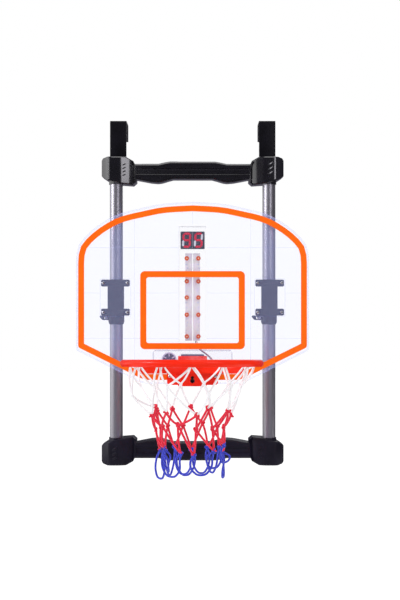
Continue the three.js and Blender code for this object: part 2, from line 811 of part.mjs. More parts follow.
function collarSolid() {
  const ring = revolved([
    [0, -collarHeight], [collarRadius - collarTaper, -collarHeight],
    [collarRadius, -collarHeight + collarTaperHeight], [collarRadius, 0], [0, 0],
  ], tubeSides);
  const lugs = extruded(outlineShape([
    [-lugOuter + lugHeight / 3, -lugHeight], [0, -lugHeight], [0, 0],
    [-lugOuter, 0], [-lugOuter, -lugHeight / 2],
  ]), 2 * lugFace, forward, { start: -lugFace });
  const bore = rod(collarBore, [0, 0, -collarHeight - overrun], [0, 0, overrun], tubeSides);
  const split = block([-lugOuter - overrun, 0], [-collarSplit / 2, collarSplit / 2],
    [-collarHeight - overrun, overrun]);
  const hole = rod(clampBoltDiameter / 2 + seatGap, [camX, -lugFace - overrun, boltZ],
    [camX, lugFace + overrun, boltZ], smallSides);
  return ring.add(lugs).subtract(bore).subtract(split).subtract(hole);
}

function clampBoltSolid() {
  const nutBack = -lugFace - seatGap;
  const nutFront = nutBack - clampNutHeight;
  const shank = rod(clampBoltDiameter / 2, [camX, camY, boltZ], [camX, nutFront, boltZ], smallSides);
  const nut = rod(clampNutDiameter / 2, [camX, nutBack, boltZ], [camX, nutFront, boltZ], nutSides);
  const pin = rod(camPinDiameter / 2, [camX, camY, -lugHeight], [camX, camY, 0], smallSides);
  return joined([shank, nut, pin]);
}

// Corners of the lever's tip, out from the handle's end and down, as shares of the lug height.
const leverTipShares = [[0, 0], [-0.17, 0.17], [-0.17, 0.33], [0.33, 0.9], [0.5, 1]];

function leverSolid() {
  const handleEnd = camX - leverHandleReach;
  const front = camY - camRadius;
  const cam = rod(camRadius, [camX, camY, -lugHeight], [camX, camY, 0], smallSides);
  const tip = leverTipShares.map(([u, v]) => [handleEnd + u * lugHeight, -v * lugHeight]);
  const handle = extruded(outlineShape([[camX, -lugHeight], [camX, 0], ...tip]), leverThickness, forward,
    { start: -front - leverThickness });
  const fork = block([camX - camRadius - overrun, camX + camRadius + overrun],
    [camY - camRadius - overrun, camY + camRadius + overrun],
    [boltZ - leverForkGap / 2, boltZ + leverForkGap / 2]);
  const bore = rod(camPinDiameter / 2 + seatGap, [camX, camY, -lugHeight - overrun], [camX, camY, overrun],
    smallSides);
  return cam.add(handle).subtract(fork).subtract(bore);
}

function addCollars(parent) {
  const top = bracketCentre - bracketHeight / 2 - seatGap;
  for (const [name, side] of [["left", -1], ["right", 1]]) {
    const group = new THREE.Group();
    group.position.set((side * poleSpacing) / 2, -poleFromDoor, top);
    group.add(piece(`clamp_collar_${name}`, collarSolid(), finish.bracket));
    group.add(piece(`clamp_bolt_${name}`, clampBoltSolid(), finish.zinc));
    group.add(piece(`clamp_lever_${name}`, leverSolid(), finish.bracket));
    parent.add(group);
  }
}

// Scoreboard: a clear tray behind the board with the display and two rows of lamps

function tray(width, height, depth, wall, corner) {
  const outer = extruded(roundedRectangle(width, height, corner), depth, forward);
  const inner = extruded(roundedRectangle(width - 2 * wall, height - 2 * wall, corner / 2), depth, forward,
    { start: wall });
  return outer.subtract(inner);
}

const trayFront = boardBack - seatGap;

function addScoreboard(parent) {
  const height = scoreTop - scoreBottom;
  const middle = (scoreTop + scoreBottom) / 2;
  const rear = trayFront - scoreDepth;
  const gate = block([-wireGateWidth / 2, wireGateWidth / 2],
    [-rear - scoreWall - wireGateHeight, -rear - scoreWall],
    [scoreBottom - overrun, scoreBottom + scoreWall + overrun]);
  const housing = tray(scoreWidth, height, scoreDepth, scoreWall, scoreCorner)
    .translate([0, -rear, middle]).subtract(gate);
  parent.add(piece("score_housing", housing, finish.clear));
  const bed = rear + scoreWall + seatGap;
  const display = extruded(roundedRectangle(displayWidth, displayHeight, scoreWall),
    trayFront - seatGap - bed, forward, { start: bed, edge: scoreWall / 2, edgeSteps: 1 });
  const displayMiddle = displayTop - displayHeight / 2;
  parent.add(piece("score_display", display.translate([0, 0, displayMiddle]), finish.display));
  for (const [name, side] of [["left", -1], ["right", 1]]) {
    const inner = (side * lampBoardGap) / 2;
    const outer = side * (lampBoardGap / 2 + lampBoardWidth);
    const lampX = outer - side * lampInset;
    let lamps = block([Math.min(inner, outer), Math.max(inner, outer)], [-bed - lampBoardThickness, -bed],
      [lampBoardBottom, lampBoardTop]);
    for (const share of lampLineShares) {
      const z = lampBoardTop - share * lampBoardHeight;
      lamps = lamps.add(lampSolid().translate([lampX, -bed - lampBoardThickness, z]));
    }
    parent.add(piece(`lamp_board_${name}`, lamps, finish.lampBoard));
  }
}

function lampSolid() {
  const radius = lampDiameter / 2;
  const cup = lampCupDiameter / 2;
  return revolved([
    [0, -lampBoardThickness / 2], [radius, -lampBoardThickness / 2], [radius, lampHeight],
    [cup, lampHeight], [cup, lampHeight - lampCupDepth], [0, lampHeight - lampCupDepth],
  ], smallSides).rotate([quarterTurn, 0, 0]);
}

// Electronics case behind the board

const caseRear = trayFront - caseDepth;
const caseBed = caseRear + caseWall + seatGap;
const batteryRowHeight = batteryPitch * (batteryCount - 1) + batteryDiameter;
const batteryWindow = {
  width: 2 * batteryCellHalf,
  height: batteryRowHeight + 2 * batteryDoorMargin,
};
const switchDepthMiddle = caseRear + caseDepth / 2;

function electronicsCaseSolid() {
  const shell = tray(caseWidth, caseHeight, caseDepth, caseWall, caseCorner)
    .translate([0, -caseRear, (caseTop + caseBottom) / 2]);
  const cradleTop = batteryRowCentre + batteryRowHeight / 2;
  const cradleLow = batteryRowCentre - batteryRowHeight / 2;
  const cradles = [-1, 1].map((side) => {
    const inner = side * batteryCellHalf;
    const outer = side * (batteryCellHalf + batteryWall);
    return block([Math.min(inner, outer), Math.max(inner, outer)],
      [-caseRear - caseWall - batteryDiameter, -caseRear - caseWall / 2], [cradleLow, cradleTop]);
  });
  const window = block([-batteryWindow.width / 2, batteryWindow.width / 2],
    [-caseRear - caseWall - overrun, -caseRear + overrun],
    [batteryRowCentre - batteryWindow.height / 2, batteryRowCentre + batteryWindow.height / 2]);
  const gate = block([-wireGateWidth / 2, wireGateWidth / 2],
    [-trayFront + seatGap, -trayFront + scoreDepth - scoreWall],
    [caseTop - caseWall - overrun, caseTop + overrun]);
  const slotHalf = switchKnobWidth / 2 + seatGap;
  const slot = block([switchX - slotHalf, switchX + slotHalf + switchTravel],
    [-switchDepthMiddle - switchKnobDepth / 2 - seatGap, -switchDepthMiddle + switchKnobDepth / 2 + seatGap],
    [caseBottom - overrun, caseBottom + caseWall + overrun]);
  return shell.add(joined(cradles)).subtract(window).subtract(gate).subtract(slot);
}

function batterySolid() {
  const radius = batteryDiameter / 2 - seatGap / 2;
  const half = batteryLength / 2;
  return revolved([
    [0, -half], [radius, -half], [radius, half], [batteryNubDiameter / 2, half],
    [batteryNubDiameter / 2, half + batteryNubHeight], [0, half + batteryNubHeight],
  ], bodySides).rotate([0, quarterTurn, 0]);
}

function addBatteries(parent) {
  const row = (batteryCount - 1) / 2;
  for (let i = 0; i < batteryCount; i += 1) {
    const mesh = piece(`battery_${i + 1}`, batterySolid(), finish.battery);
    const depth = caseRear + caseWall + seatGap + batteryDiameter / 2;
    mesh.position.set(0, -depth, batteryRowCentre + (row - i) * batteryPitch);
    parent.add(mesh);
  }
}

function batteryDoorSolid() {
  const width = batteryWindow.width - 2 * seatGap;
  const height = batteryWindow.height - 2 * seatGap;
  const plate = block([-width / 2, width / 2], [-caseRear - caseWall, -caseRear],
    [batteryRowCentre - height / 2, batteryRowCentre + height / 2]);
  const gripTop = batteryRowCentre + height / 2 - 2 * batteryDoorGripHeight;
  const grip = block([-batteryDoorGripWidth / 2, batteryDoorGripWidth / 2],
    [-caseRear - caseWall / 2, -caseRear + batteryDoorGripReach],
    [gripTop - batteryDoorGripHeight, gripTop]);
  return plate.add(grip);
}

function speakerFrameSolid() {
  const outer = speakerDiameter / 2;
  const inner = outer - speakerRimWidth;
  const front = trayFront - speakerFrontGap;
  const rim = revolved([
    [inner, front - speakerRimDepth], [outer, front - speakerRimDepth], [outer, front], [inner, front],
    [inner, front - speakerRimDepth],
  ], bodySides).rotate([quarterTurn, 0, 0]);
  const hub = rod(speakerHubDiameter / 2, [0, -front + speakerSpokeDepth / 2, 0],
    [0, -front + speakerRimDepth, 0], bodySides);
  const spokes = [];
  for (let i = 0; i < speakerSpokes / 2; i += 1) {
    const bar = block([-inner - speakerRimWidth / 2, inner + speakerRimWidth / 2],
      [-front + speakerRimDepth - speakerSpokeDepth, -front + speakerRimDepth],
      [-speakerSpokeWidth / 2, speakerSpokeWidth / 2]);
    spokes.push(bar.rotate([0, ((i + 1 / 2) * 4 * quarterTurn) / speakerSpokes, 0]));
  }
  return joined([rim, hub, ...spokes]);
}

function addElectronics(parent) {
  parent.add(piece("electronics_case", electronicsCaseSolid(), finish.clear));
  addBatteries(parent);
  parent.add(piece("battery_door", batteryDoorSolid(), finish.clear));
  const frame = piece("speaker_frame", speakerFrameSolid(), finish.speaker);
  frame.position.set(speakerX, 0, speakerZ);
  parent.add(frame);
  const magnetFront = trayFront - speakerFrontGap - speakerRimDepth - seatGap;
  const magnet = rod(speakerMagnetDiameter / 2, [0, -magnetFront, 0], [0, -caseBed, 0], bodySides);
  const magnetMesh = piece("speaker_magnet", magnet, finish.speaker);
  magnetMesh.position.set(speakerX, 0, speakerZ);
  parent.add(magnetMesh);
  const plate = block([mainBoardX - mainBoardWidth / 2, mainBoardX + mainBoardWidth / 2],
    [-caseBed - mainBoardThickness, -caseBed],
    [mainBoardZ - mainBoardHeight / 2, mainBoardZ + mainBoardHeight / 2]);
  const chip = block([mainBoardX - chipWidth / 2, mainBoardX + chipWidth / 2],
    [-caseBed - mainBoardThickness - chipThickness, -caseBed],
    [mainBoardZ - chipHeight / 2, mainBoardZ + chipHeight / 2]);
  parent.add(piece("main_circuit_board", plate.add(chip), finish.mainBoard));
  parent.add(piece("power_switch", powerSwitchSolid(), finish.moulding));
  const shifted = wireRoute.map(([x, y, z]) => [x - wirePitch, y, z]);
  parent.add(piece("signal_wire_red", wireSolid(wireRoute), finish.wireRed));
  parent.add(piece("signal_wire_black", wireSolid(shifted), finish.wireBlack));
}

function wireSolid(route) {
  const path = new THREE.CatmullRomCurve3(route.map((point) => new THREE.Vector3(...point)));
  const section = new THREE.Shape();
  section.absarc(0, 0, wireDiameter / 2, 0, 2 * Math.PI);
  return solidOf(new THREE.ExtrudeGeometry(section, {
    steps: wireSteps,
    curveSegments: wireSides / 2,
    bevelEnabled: false,
    extrudePath: path,
  }));
}

function powerSwitchSolid() {
  const knob = block([switchX - switchKnobWidth / 2, switchX + switchKnobWidth / 2],
    [-switchDepthMiddle - switchKnobDepth / 2, -switchDepthMiddle + switchKnobDepth / 2],
    [caseBottom - switchKnobReach, caseBottom + caseWall + switchBodyHeight]);
  const flange = block([switchX - switchFlangeWidth / 2, switchX + switchFlangeWidth / 2],
    [-switchDepthMiddle - switchKnobDepth, -switchDepthMiddle + switchKnobDepth],
    [caseBottom + caseWall + seatGap, caseBottom + caseWall + switchBodyHeight / 2]);
  return knob.add(flange);
}

// Rim: ring that rises towards the front, net pegs, neck, plate and sensor box in one moulding

const rimY = -(boardFront + rimFromBoard);
const plateBack = boardFront + 2 * seatGap + stripeThickness;
const rimSlope = Math.tan(THREE.MathUtils.degToRad(rimTilt));

function onRing(solid) {
  return solid.rotate([-rimTilt, 0, 0]).translate([0, rimY, rimZ]);
}

function pointOnRing(x, y, z) {
  const point = new THREE.Vector3(x, y, z).applyAxisAngle(axisX, -THREE.MathUtils.degToRad(rimTilt));
  return [point.x, rimY + point.y, rimZ + point.z];
}

function ringLevel(y) {
  return rimZ + rimSlope * (rimY - y);
}

function sensorBoxShape(grow) {
  const top = sensorBoxTop + grow;
  const low = sensorBoxBottom - grow;
  return outlineShape([
    [-sensorBoxFootWidth / 2 - grow, low], [sensorBoxFootWidth / 2 + grow, low],
    [sensorBoxWidth / 2 + grow, top], [-sensorBoxWidth / 2 - grow, top],
  ]);
}

function ringSolid() {
  const inner = rimInnerDiameter / 2;
  const outer = rimOuterDiameter / 2;
  const half = rimHeight / 2;
  const crown = outer - rimShoulder;
  return revolved([
    [inner, -half], [inner, half - rimEdge], [inner + rimEdge, half], [crown, half],
    [outer - rimBulge, half / 2], [outer, 0], [outer - rimBulge, -half / 2], [outer - rimSkirt, -half],
    [outer - rimSkirt - rimWall, -half], [outer - rimBulge - rimWall, 0], [crown, half - rimWall],
    [inner + rimWall, half - rimWall], [inner + rimWall, -half], [inner, -half],
  ], ringSides);
}

// Wall that hangs from the inner edge along the rear of the ring
function rearWallSolid() {
  const inner = rimInnerDiameter / 2;
  const reach = rimOuterDiameter / 2;
  const wall = revolved([
    [inner, -rimRearDrop], [inner + rimWall, -rimRearDrop], [inner + rimWall, 0], [inner, 0], [inner, -rimRearDrop],
  ], ringSides);
  return wall.intersect(block([-reach, reach], [rimRearStart, reach], [-rimRearDrop - overrun, overrun]));
}

function netPegSolid() {
  const radius = netPegDiameter / 2;
  const start = rimInnerDiameter / 2 + rimWall / 2;
  const end = rimInnerDiameter / 2 - netPegReach;
  const arm = block([end, start], [-radius, radius], [-netPegDrop - netPegDiameter, -netPegDrop]);
  const tip = block([end, end + radius], [-radius, radius],
    [-netPegDrop - netPegDiameter, -netPegDrop + netPegTip]);
  return arm.add(tip);
}

const netRowRadii = netRowShares.map((share) => (share * rimInnerDiameter) / 2);
const netPegCentre = netRowRadii[0];
const netLoopShare = 1.3;

function netAngle(column) {
  return (column * 2 * Math.PI) / netColumns;
}

function rimSolid() {
  const half = rimPlateWidth / 2;
  const corner = rimPlateCorner;
  const plateShape = outlineShape(mirrored([
    [half - corner, rimPlateBottom], [half, rimPlateBottom + corner],
    [half, rimPlateShoulder - corner], [half - corner, rimPlateShoulder],
    [rimNeckWidth / 2, rimPlateShoulder], [rimNeckWidth / 2, rimPlateTop],
  ]));
  const plate = extruded(plateShape, rimPlateThickness, forward, { start: plateBack });
  const plateFront = -plateBack - rimPlateThickness;
  const neckStart = plateFront - rimNeckSlopeReach;
  const neckEnd = rimY + rimInnerDiameter / 2;
  const neckTop = (y) => ringLevel(y) + rimHeight / 2 - rimNeckStep;
  const neck = extruded(outlineShape([
    [-plateBack, rimPlateTop], [plateFront, rimPlateTop], [neckStart, neckTop(neckStart)],
    [neckEnd, neckTop(neckEnd)], [neckEnd, ringLevel(neckEnd)], [neckStart, rimNeckBottom],
    [plateFront, rimNeckBottom - rimWall], [-plateBack, rimNeckBottom - rimWall],
  ]), rimNeckWidth, sideways, { start: -rimNeckWidth / 2 });
  const hole = onRing(rod(rimInnerDiameter / 2 + rimWall / 2, [0, 0, -rimHeight], [0, 0, rimHeight], ringSides));
  const box = extruded(sensorBoxShape(0), sensorBoxReach, forward, { start: plateBack, edge: sensorBoxEdge });
  const pocket = extruded(sensorBoxShape(-sensorBoxWall), sensorBoxReach - sensorBoxWall + overrun, forward,
    { start: plateBack - overrun });
  const ring = onRing(ringSolid().add(rearWallSolid()));
  let rim = plate.add(neck.subtract(hole)).add(box).subtract(pocket).add(ring);
  const front = -plateBack - sensorBoxReach;
  const wall = [front - overrun, front + sensorBoxWall + overrun];
  rim = rim.subtract(windowSolid(windowUpperDiameter / 2 + seatGap, windowLowerDiameter / 2 + seatGap, wall));
  for (const [u, v] of [[-1, -1], [1, 1]]) {
    const x = (u * pilotHoleSpanX) / 2;
    const z = pilotHoleCentre + (v * pilotHoleSpanZ) / 2;
    const depth = front + sensorBoxWall / 2;
    rim = rim.subtract(rod(pilotHoleDiameter / 2, [x, wall[0], z], [x, depth, z], smallSides));
  }
  for (const side of [-1, 1]) {
    const x = (side * rimBoltSpan) / 2;
    rim = rim.subtract(rod(rimBoltHoleRadius, [x, plateFront - overrun, rimBoltZ],
      [x, -plateBack + overrun, rimBoltZ], smallSides));
  }
  const peg = netPegSolid();
  for (let column = 0; column < netColumns; column += 1) {
    const turn = THREE.MathUtils.radToDeg(netAngle(column));
    rim = rim.add(onRing(peg.rotate([0, 0, turn])));
  }
  return rim;
}

function windowSolid(upperRadius, lowerRadius, depth) {
  return rod(upperRadius, [0, depth[0], windowUpperZ], [0, depth[1], windowUpperZ], tubeSides / 2)
    .add(rod(lowerRadius, [0, depth[0], windowLowerZ], [0, depth[1], windowLowerZ], tubeSides / 2));
}

function addRim(parent) {
  parent.add(piece("rim", rimSolid(), finish.rim));
  const front = -plateBack - sensorBoxReach;
  const glass = [front + seatGap, front + sensorBoxWall + seatGap];
  const window = windowSolid(windowUpperDiameter / 2, windowLowerDiameter / 2, glass);
  parent.add(piece("sensor_window", window, finish.window));
  const middle = (windowUpperZ + windowLowerZ) / 2;
  const boardStart = glass[1] + seatGap;
  const sensor = block([-sensorBoardWidth / 2, sensorBoardWidth / 2],
    [boardStart, boardStart + mainBoardThickness],
    [middle - sensorBoardHeight / 2, middle + sensorBoardHeight / 2]);
  parent.add(piece("sensor_board", sensor, finish.mainBoard));
  const head = plateBack + rimPlateThickness + seatGap;
  const nutFront = boardBack - seatGap;
  const bolt = revolved([
    [0, nutFront - rimNutHeight], [rimBoltDiameter / 2, nutFront - rimNutHeight], [rimBoltDiameter / 2, head],
    [rimBoltHeadDiameter / 2, head], [rimBoltHeadDiameter / 2, head + rimBoltHeadHeight / 2],
    [rimBoltHeadDiameter / 4, head + rimBoltHeadHeight], [0, head + rimBoltHeadHeight],
  ], smallSides).rotate([quarterTurn, 0, 0]);
  const nut = rod(rimNutDiameter / 2, [0, -nutFront, 0], [0, -nutFront + rimNutHeight, 0], nutSides)
    .subtract(rod(rimBoltDiameter / 2 + seatGap, [0, -nutFront - overrun, 0],
      [0, -nutFront + rimNutHeight + overrun, 0], smallSides));
  for (const [name, side] of [["left", -1], ["right", 1]]) {
    for (const [kind, solid] of [["bolt", bolt], ["nut", nut]]) {
      const mesh = piece(`rim_${kind}_${name}`, solid, finish.zinc);
      mesh.position.set((side * rimBoltSpan) / 2, 0, rimBoltZ);
      parent.add(mesh);
    }
  }
}

// Net: rows of knots on circles that narrow downwards, joined by two cords from each knot

function netKnot(row, column) {
  const angle = netAngle(column + (row % 2) / 2);
  const radius = netRowRadii[row];
  const y = rimY + radius * Math.sin(angle);
  return [radius * Math.cos(angle), y, ringLevel(y) - netRowDrops[row]];
}

function netStrand(from, to, cut = 0) {
  const start = new THREE.Vector3(...from);
  const end = new THREE.Vector3(...to);
  const share = 1 - cut / start.distanceTo(end);
  return rod(netCordDiameter / 2, from, start.lerp(end, share).toArray(), cordSides);
}

// Each knot sends two cords to the row below, cut short by the room of the knot they meet.
function netRow(row, cut) {
  const solids = [];
  for (let column = 0; column < netColumns; column += 1) {
    const shift = row % 2 === 0 ? -1 : 1;
    for (const next of [column, column + shift]) {
      solids.push(netStrand(netKnot(row, column), netKnot(row + 1, next), cut));
    }
  }
  return solids;
}

function netKnots(row, diameter) {
  const ball = solidOf(new THREE.SphereGeometry(diameter / 2, netKnotSides, netKnotRings));
  const solids = [];
  for (let column = 0; column < netColumns; column += 1) solids.push(ball.translate(netKnot(row, column)));
  return solids;
}

// The top row hangs on the pegs: each loop goes up on one side of a peg, over its arm and down.
function netLoops() {
  const side = (netPegDiameter + netCordDiameter) / 2 + seatGap;
  const height = -netPegDrop + netCordDiameter / 2 + seatGap;
  const solids = [];
  for (let column = 0; column < netColumns; column += 1) {
    const angle = netAngle(column);
    const corner = (turn) => pointOnRing(
      netPegCentre * Math.cos(angle) - turn * side * Math.sin(angle),
      netPegCentre * Math.sin(angle) + turn * side * Math.cos(angle),
      height,
    );
    solids.push(netStrand(corner(-netLoopShare), corner(netLoopShare)));
    for (const turn of [-1, 1]) {
      const next = turn > 0 ? column : column - 1;
      solids.push(netStrand(corner(turn), netKnot(1, next)));
    }
  }
  return solids;
}

function addNet(parent) {
  const room = netKnotDiameter / 2 + seatGap;
  const white = joined([...netLoops(), ...netKnots(1, netKnotDiameter), ...netRow(1, room)]);
  const red = joined([...netKnots(2, netKnotDiameter), ...netRow(2, 0), ...netKnots(3, netKnotDiameter),
    ...netRow(3, room)]);
  const blue = joined([...netKnots(4, netKnotDiameter), ...netRow(4, 0), ...netKnots(5, netTailDiameter)]);
  parent.add(piece("net_white", white, finish.netWhite));
  parent.add(piece("net_red", red, finish.netRed));
  parent.add(piece("net_blue", blue, finish.netBlue));
}

const hoop = new THREE.Group();
addCrossBar(hoop, "top_bar", 0, false);
addCrossBar(hoop, "bottom_bar", -barSpacing, true);
addHooks(hoop);
addPoles(hoop);
addBackboard(hoop);
addBrackets(hoop);
addCollars(hoop);
addScoreboard(hoop);
addElectronics(hoop);
addRim(hoop);
addNet(hoop);

export default hoop;
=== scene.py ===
import math
import random

import bmesh
import bpy
from mathutils import Matrix, Vector


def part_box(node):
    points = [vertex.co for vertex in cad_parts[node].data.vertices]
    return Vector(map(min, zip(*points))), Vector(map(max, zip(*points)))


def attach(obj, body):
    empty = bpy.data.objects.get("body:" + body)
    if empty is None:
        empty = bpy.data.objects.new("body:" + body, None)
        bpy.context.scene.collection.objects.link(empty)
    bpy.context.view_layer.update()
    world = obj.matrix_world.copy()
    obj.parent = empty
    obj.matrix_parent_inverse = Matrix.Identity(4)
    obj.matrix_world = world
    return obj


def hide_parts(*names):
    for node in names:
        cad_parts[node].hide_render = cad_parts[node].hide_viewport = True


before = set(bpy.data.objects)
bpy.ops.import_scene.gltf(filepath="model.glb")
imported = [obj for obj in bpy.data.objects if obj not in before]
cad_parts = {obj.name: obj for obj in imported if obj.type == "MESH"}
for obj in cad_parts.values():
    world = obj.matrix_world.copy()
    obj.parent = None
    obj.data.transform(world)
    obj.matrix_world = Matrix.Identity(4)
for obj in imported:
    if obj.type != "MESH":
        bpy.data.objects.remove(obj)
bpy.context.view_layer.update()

# The picture
# The hoop is seen level and square on from about two metres, against plain white. Soft boxes light it
# from the left, the right, above and behind, and dark boards out of sight give its gloss the dark bands.
scene = bpy.context.scene
scene.view_settings.view_transform = "Standard"

camera_lens = bpy.data.cameras.new("camera")
camera_lens.sensor_width = 36.0
camera_lens.lens = 55.9
camera = bpy.data.objects.new("camera", camera_lens)
camera.location = (0.016, -2.058, -0.278)
camera.rotation_euler = (math.radians(90.0), 0.0, 0.0)
scene.collection.objects.link(camera)
scene.camera = camera


def node_in(tree, kind, sockets=None, **settings):
    """Add a node, set its options, and give its sockets plain values or the outputs of other nodes."""
    made = tree.nodes.new(kind)
    for key, value in settings.items():
        setattr(made, key, value)
    for key, value in (sockets or {}).items():
        if isinstance(value, bpy.types.NodeSocket):
            tree.links.new(value, made.inputs[key])
        else:
            made.inputs[key].default_value = value
    return made


def seen_straight(tree):
    """1 for what the camera sees itself, in metal or through glass, and 0 for light that falls on things."""
    ray = node_in(tree, "ShaderNodeLightPath").outputs
    seen = ray["Is Camera Ray"]
    for other in ("Is Glossy Ray", "Is Transmission Ray"):
        seen = node_in(tree, "ShaderNodeMath", {0: seen, 1: ray[other]}, operation="MAXIMUM").outputs[0]
    return seen


def daylight(low, high):
    """A plain white world: high where it is seen, low where it only lights."""
    world = bpy.data.worlds.new("studio")
    world.use_nodes = True
    tree = world.node_tree
    tree.nodes.clear()
    level = node_in(tree, "ShaderNodeMapRange", {"Value": seen_straight(tree), "To Min": low, "To Max": high})
    glow = node_in(tree, "ShaderNodeBackground", {"Color": (1.0, 1.0, 1.0, 1.0), "Strength": level.outputs[0]})
    node_in(tree, "ShaderNodeOutputWorld", {"Surface": glow.outputs[0]})
    return world


scene.world = daylight(0.73, 1.0)


def soft_box(name, place, target, size, watts, tint=(1.0, 1.0, 1.0)):
    """A rectangular lamp that faces a point."""
    light = bpy.data.lights.new(name, "AREA")
    light.shape = "RECTANGLE"
    light.size, light.size_y = size
    light.energy = watts
    light.color = tint
    lamp = bpy.data.objects.new(name, light)
    lamp.location = place
    lamp.rotation_euler = (Vector(target) - Vector(place)).to_track_quat("-Z", "Y").to_euler()
    scene.collection.objects.link(lamp)


board_middle, cool_white = (0.0, -0.05, -0.3), (0.95, 0.93, 1.0)
soft_box("left_box", (-1.95, -0.72, 0.45), (-0.15, 0.0, 0.1), (0.5, 0.9), 17.0, cool_white)
soft_box("right_box", (1.03, -1.72, 0.45), (0.0, 0.0, 0.0), (0.55, 1.1), 6.0, cool_white)
soft_box("top_box", (0.2, -1.1, 1.7), board_middle, (1.6, 1.0), 9.0)
soft_box("back_box", (0.6, 1.9, 0.9), board_middle, (1.4, 1.4), 10.0)


def sheet_at(name, material, size, place, turn):
    """A flat sheet of the studio, given its width and height, its place and its turn from facing up."""
    bm = bmesh.new()
    bmesh.ops.create_grid(bm, x_segments=1, y_segments=1, size=0.5)
    bmesh.ops.scale(bm, verts=bm.verts, vec=(size[0], size[1], 1.0))
    bmesh.ops.transform(bm, verts=bm.verts, matrix=Matrix.Translation(place) @ turn)
    mesh = bpy.data.meshes.new(name)
    bm.to_mesh(mesh)
    bm.free()
    mesh.materials.append(material)
    sheet = bpy.data.objects.new(name, mesh)
    scene.collection.objects.link(sheet)
    return sheet


floor_paint, floor_glow, glow_share = 0.9, 1.18, 0.8
board_tint = (1.0, 0.95, 1.2)


def floor_finish():
    """White where it is seen, but for the hoop's own faint shadow."""
    material = bpy.data.materials.new("studio_floor")
    material.use_nodes = True
    tree = material.node_tree
    tree.nodes.clear()
    paint = node_in(tree, "ShaderNodeBsdfDiffuse", {"Color": (floor_paint, floor_paint, floor_paint, 1.0)})
    glow = node_in(tree, "ShaderNodeEmission", {"Strength": floor_glow})
    share = node_in(tree, "ShaderNodeMapRange", {"Value": seen_straight(tree), "To Min": 0.0, "To Max": glow_share})
    both = node_in(tree, "ShaderNodeMixShader", {0: share.outputs[0], 1: paint.outputs[0], 2: glow.outputs[0]})
    node_in(tree, "ShaderNodeOutputMaterial", {"Surface": both.outputs[0]})
    return material


def dark_board(name, level, size, place, facing):
    """A board of one even, cool grey that shows only in gloss."""
    material = bpy.data.materials.new(name)
    material.use_nodes = True
    tree = material.node_tree
    tree.nodes.clear()
    glow = node_in(tree, "ShaderNodeEmission", {"Color": (*(part * level for part in board_tint), 1.0)})
    node_in(tree, "ShaderNodeOutputMaterial", {"Surface": glow.outputs[0]})
    turn = Vector(facing).to_track_quat("Z", "Y").to_matrix().to_4x4()
    board = sheet_at(name, material, size, place, turn)
    board.visible_camera = board.visible_diffuse = board.visible_shadow = board.visible_transmission = False


sheet_at("floor", floor_finish(), (12.0, 12.0), (0.0, 0.0, -0.9), Matrix())
dark_board("front_board", 0.05, (4.8, 2.8), (-0.1, -3.0, 1.0), (0.0, 1.0, 0.0))
dark_board("front_low_board", 0.55, (4.8, 1.6), (-0.1, -3.0, -1.2), (0.0, 1.0, 0.0))
dark_board("right_board", 0.06, (4.4, 4.4), (1.9, -0.2, 0.2), (-1.0, 0.0, 0.0))
dark_board("low_board", 0.05, (4.6, 2.65), (-0.1, -1.775, -0.88), (0.0, 0.0, 1.0))
dark_board("back_board", 0.12, (6.4, 3.4), (0.0, 2.3, 0.3), (0.0, -1.0, 0.0))
dark_board("back_low_board", 0.05, (3.6, 2.2), (0.3, 1.2, -0.88), (0.0, 0.0, 1.0))
dark_board("high_board", 0.06, (4.6, 4.6), (0.0, -0.8, 2.1), (0.0, 0.0, -1.0))

# Poles
# Two straight tubes of thin plated steel, drawn and cut to length. Each end is pushed into the
# socket of a cross bar, and the scoreboard slides along them.


def colour(red, green, blue):
    """The light that a screen colour, given in steps of 255, stands for."""
    shares = [step / 255.0 for step in (red, green, blue)]
    return (*(share / 12.92 if share <= 0.04045 else ((share + 0.055) / 1.055) ** 2.4 for share in shares), 1.0)


def finish(name, dark, light, gloss, patch, grain, relief, stretch=(1.0, 1.0, 1.0), **sockets):
    """A surface between two tones. Its tone and gloss wander over patches, and it has a fine grain.
    patch and grain are sizes in metres, relief is the grain's depth, and gloss is the roughness, low and high."""
    material = bpy.data.materials.new(name)
    material.use_nodes = True
    tree = material.node_tree
    shader = tree.nodes["Principled BSDF"]
    place = node_in(tree, "ShaderNodeTexCoord").outputs["Object"]
    spread = node_in(tree, "ShaderNodeMapping", {"Vector": place, "Scale": stretch}).outputs[0]
    cloud = node_in(tree, "ShaderNodeTexNoise", {"Vector": spread, "Scale": 1.0 / patch, "Detail": 4.0}).outputs[0]
    speck = node_in(tree, "ShaderNodeTexNoise", {"Vector": spread, "Scale": 1.0 / grain, "Detail": 2.0}).outputs[0]
    tones = node_in(tree, "ShaderNodeValToRGB", {"Fac": cloud})
    for stop, place_on_ramp, tone in zip(tones.color_ramp.elements, (0.3, 0.7), (dark, light)):
        stop.position = place_on_ramp
        stop.color = tone
    rough = node_in(tree, "ShaderNodeMapRange", {
        "Value": speck, "From Min": 0.3, "From Max": 0.7, "To Min": gloss[0], "To Max": gloss[1]})
    bump = node_in(tree, "ShaderNodeBump", {"Height": speck, "Strength": 1.0, "Distance": relief})
    tree.links.new(tones.outputs["Color"], shader.inputs["Base Color"])
    tree.links.new(rough.outputs[0], shader.inputs["Roughness"])
    tree.links.new(bump.outputs[0], shader.inputs["Normal"])
    for key, value in sockets.items():
        shader.inputs[key.replace("_", " ")].default_value = value
    return material


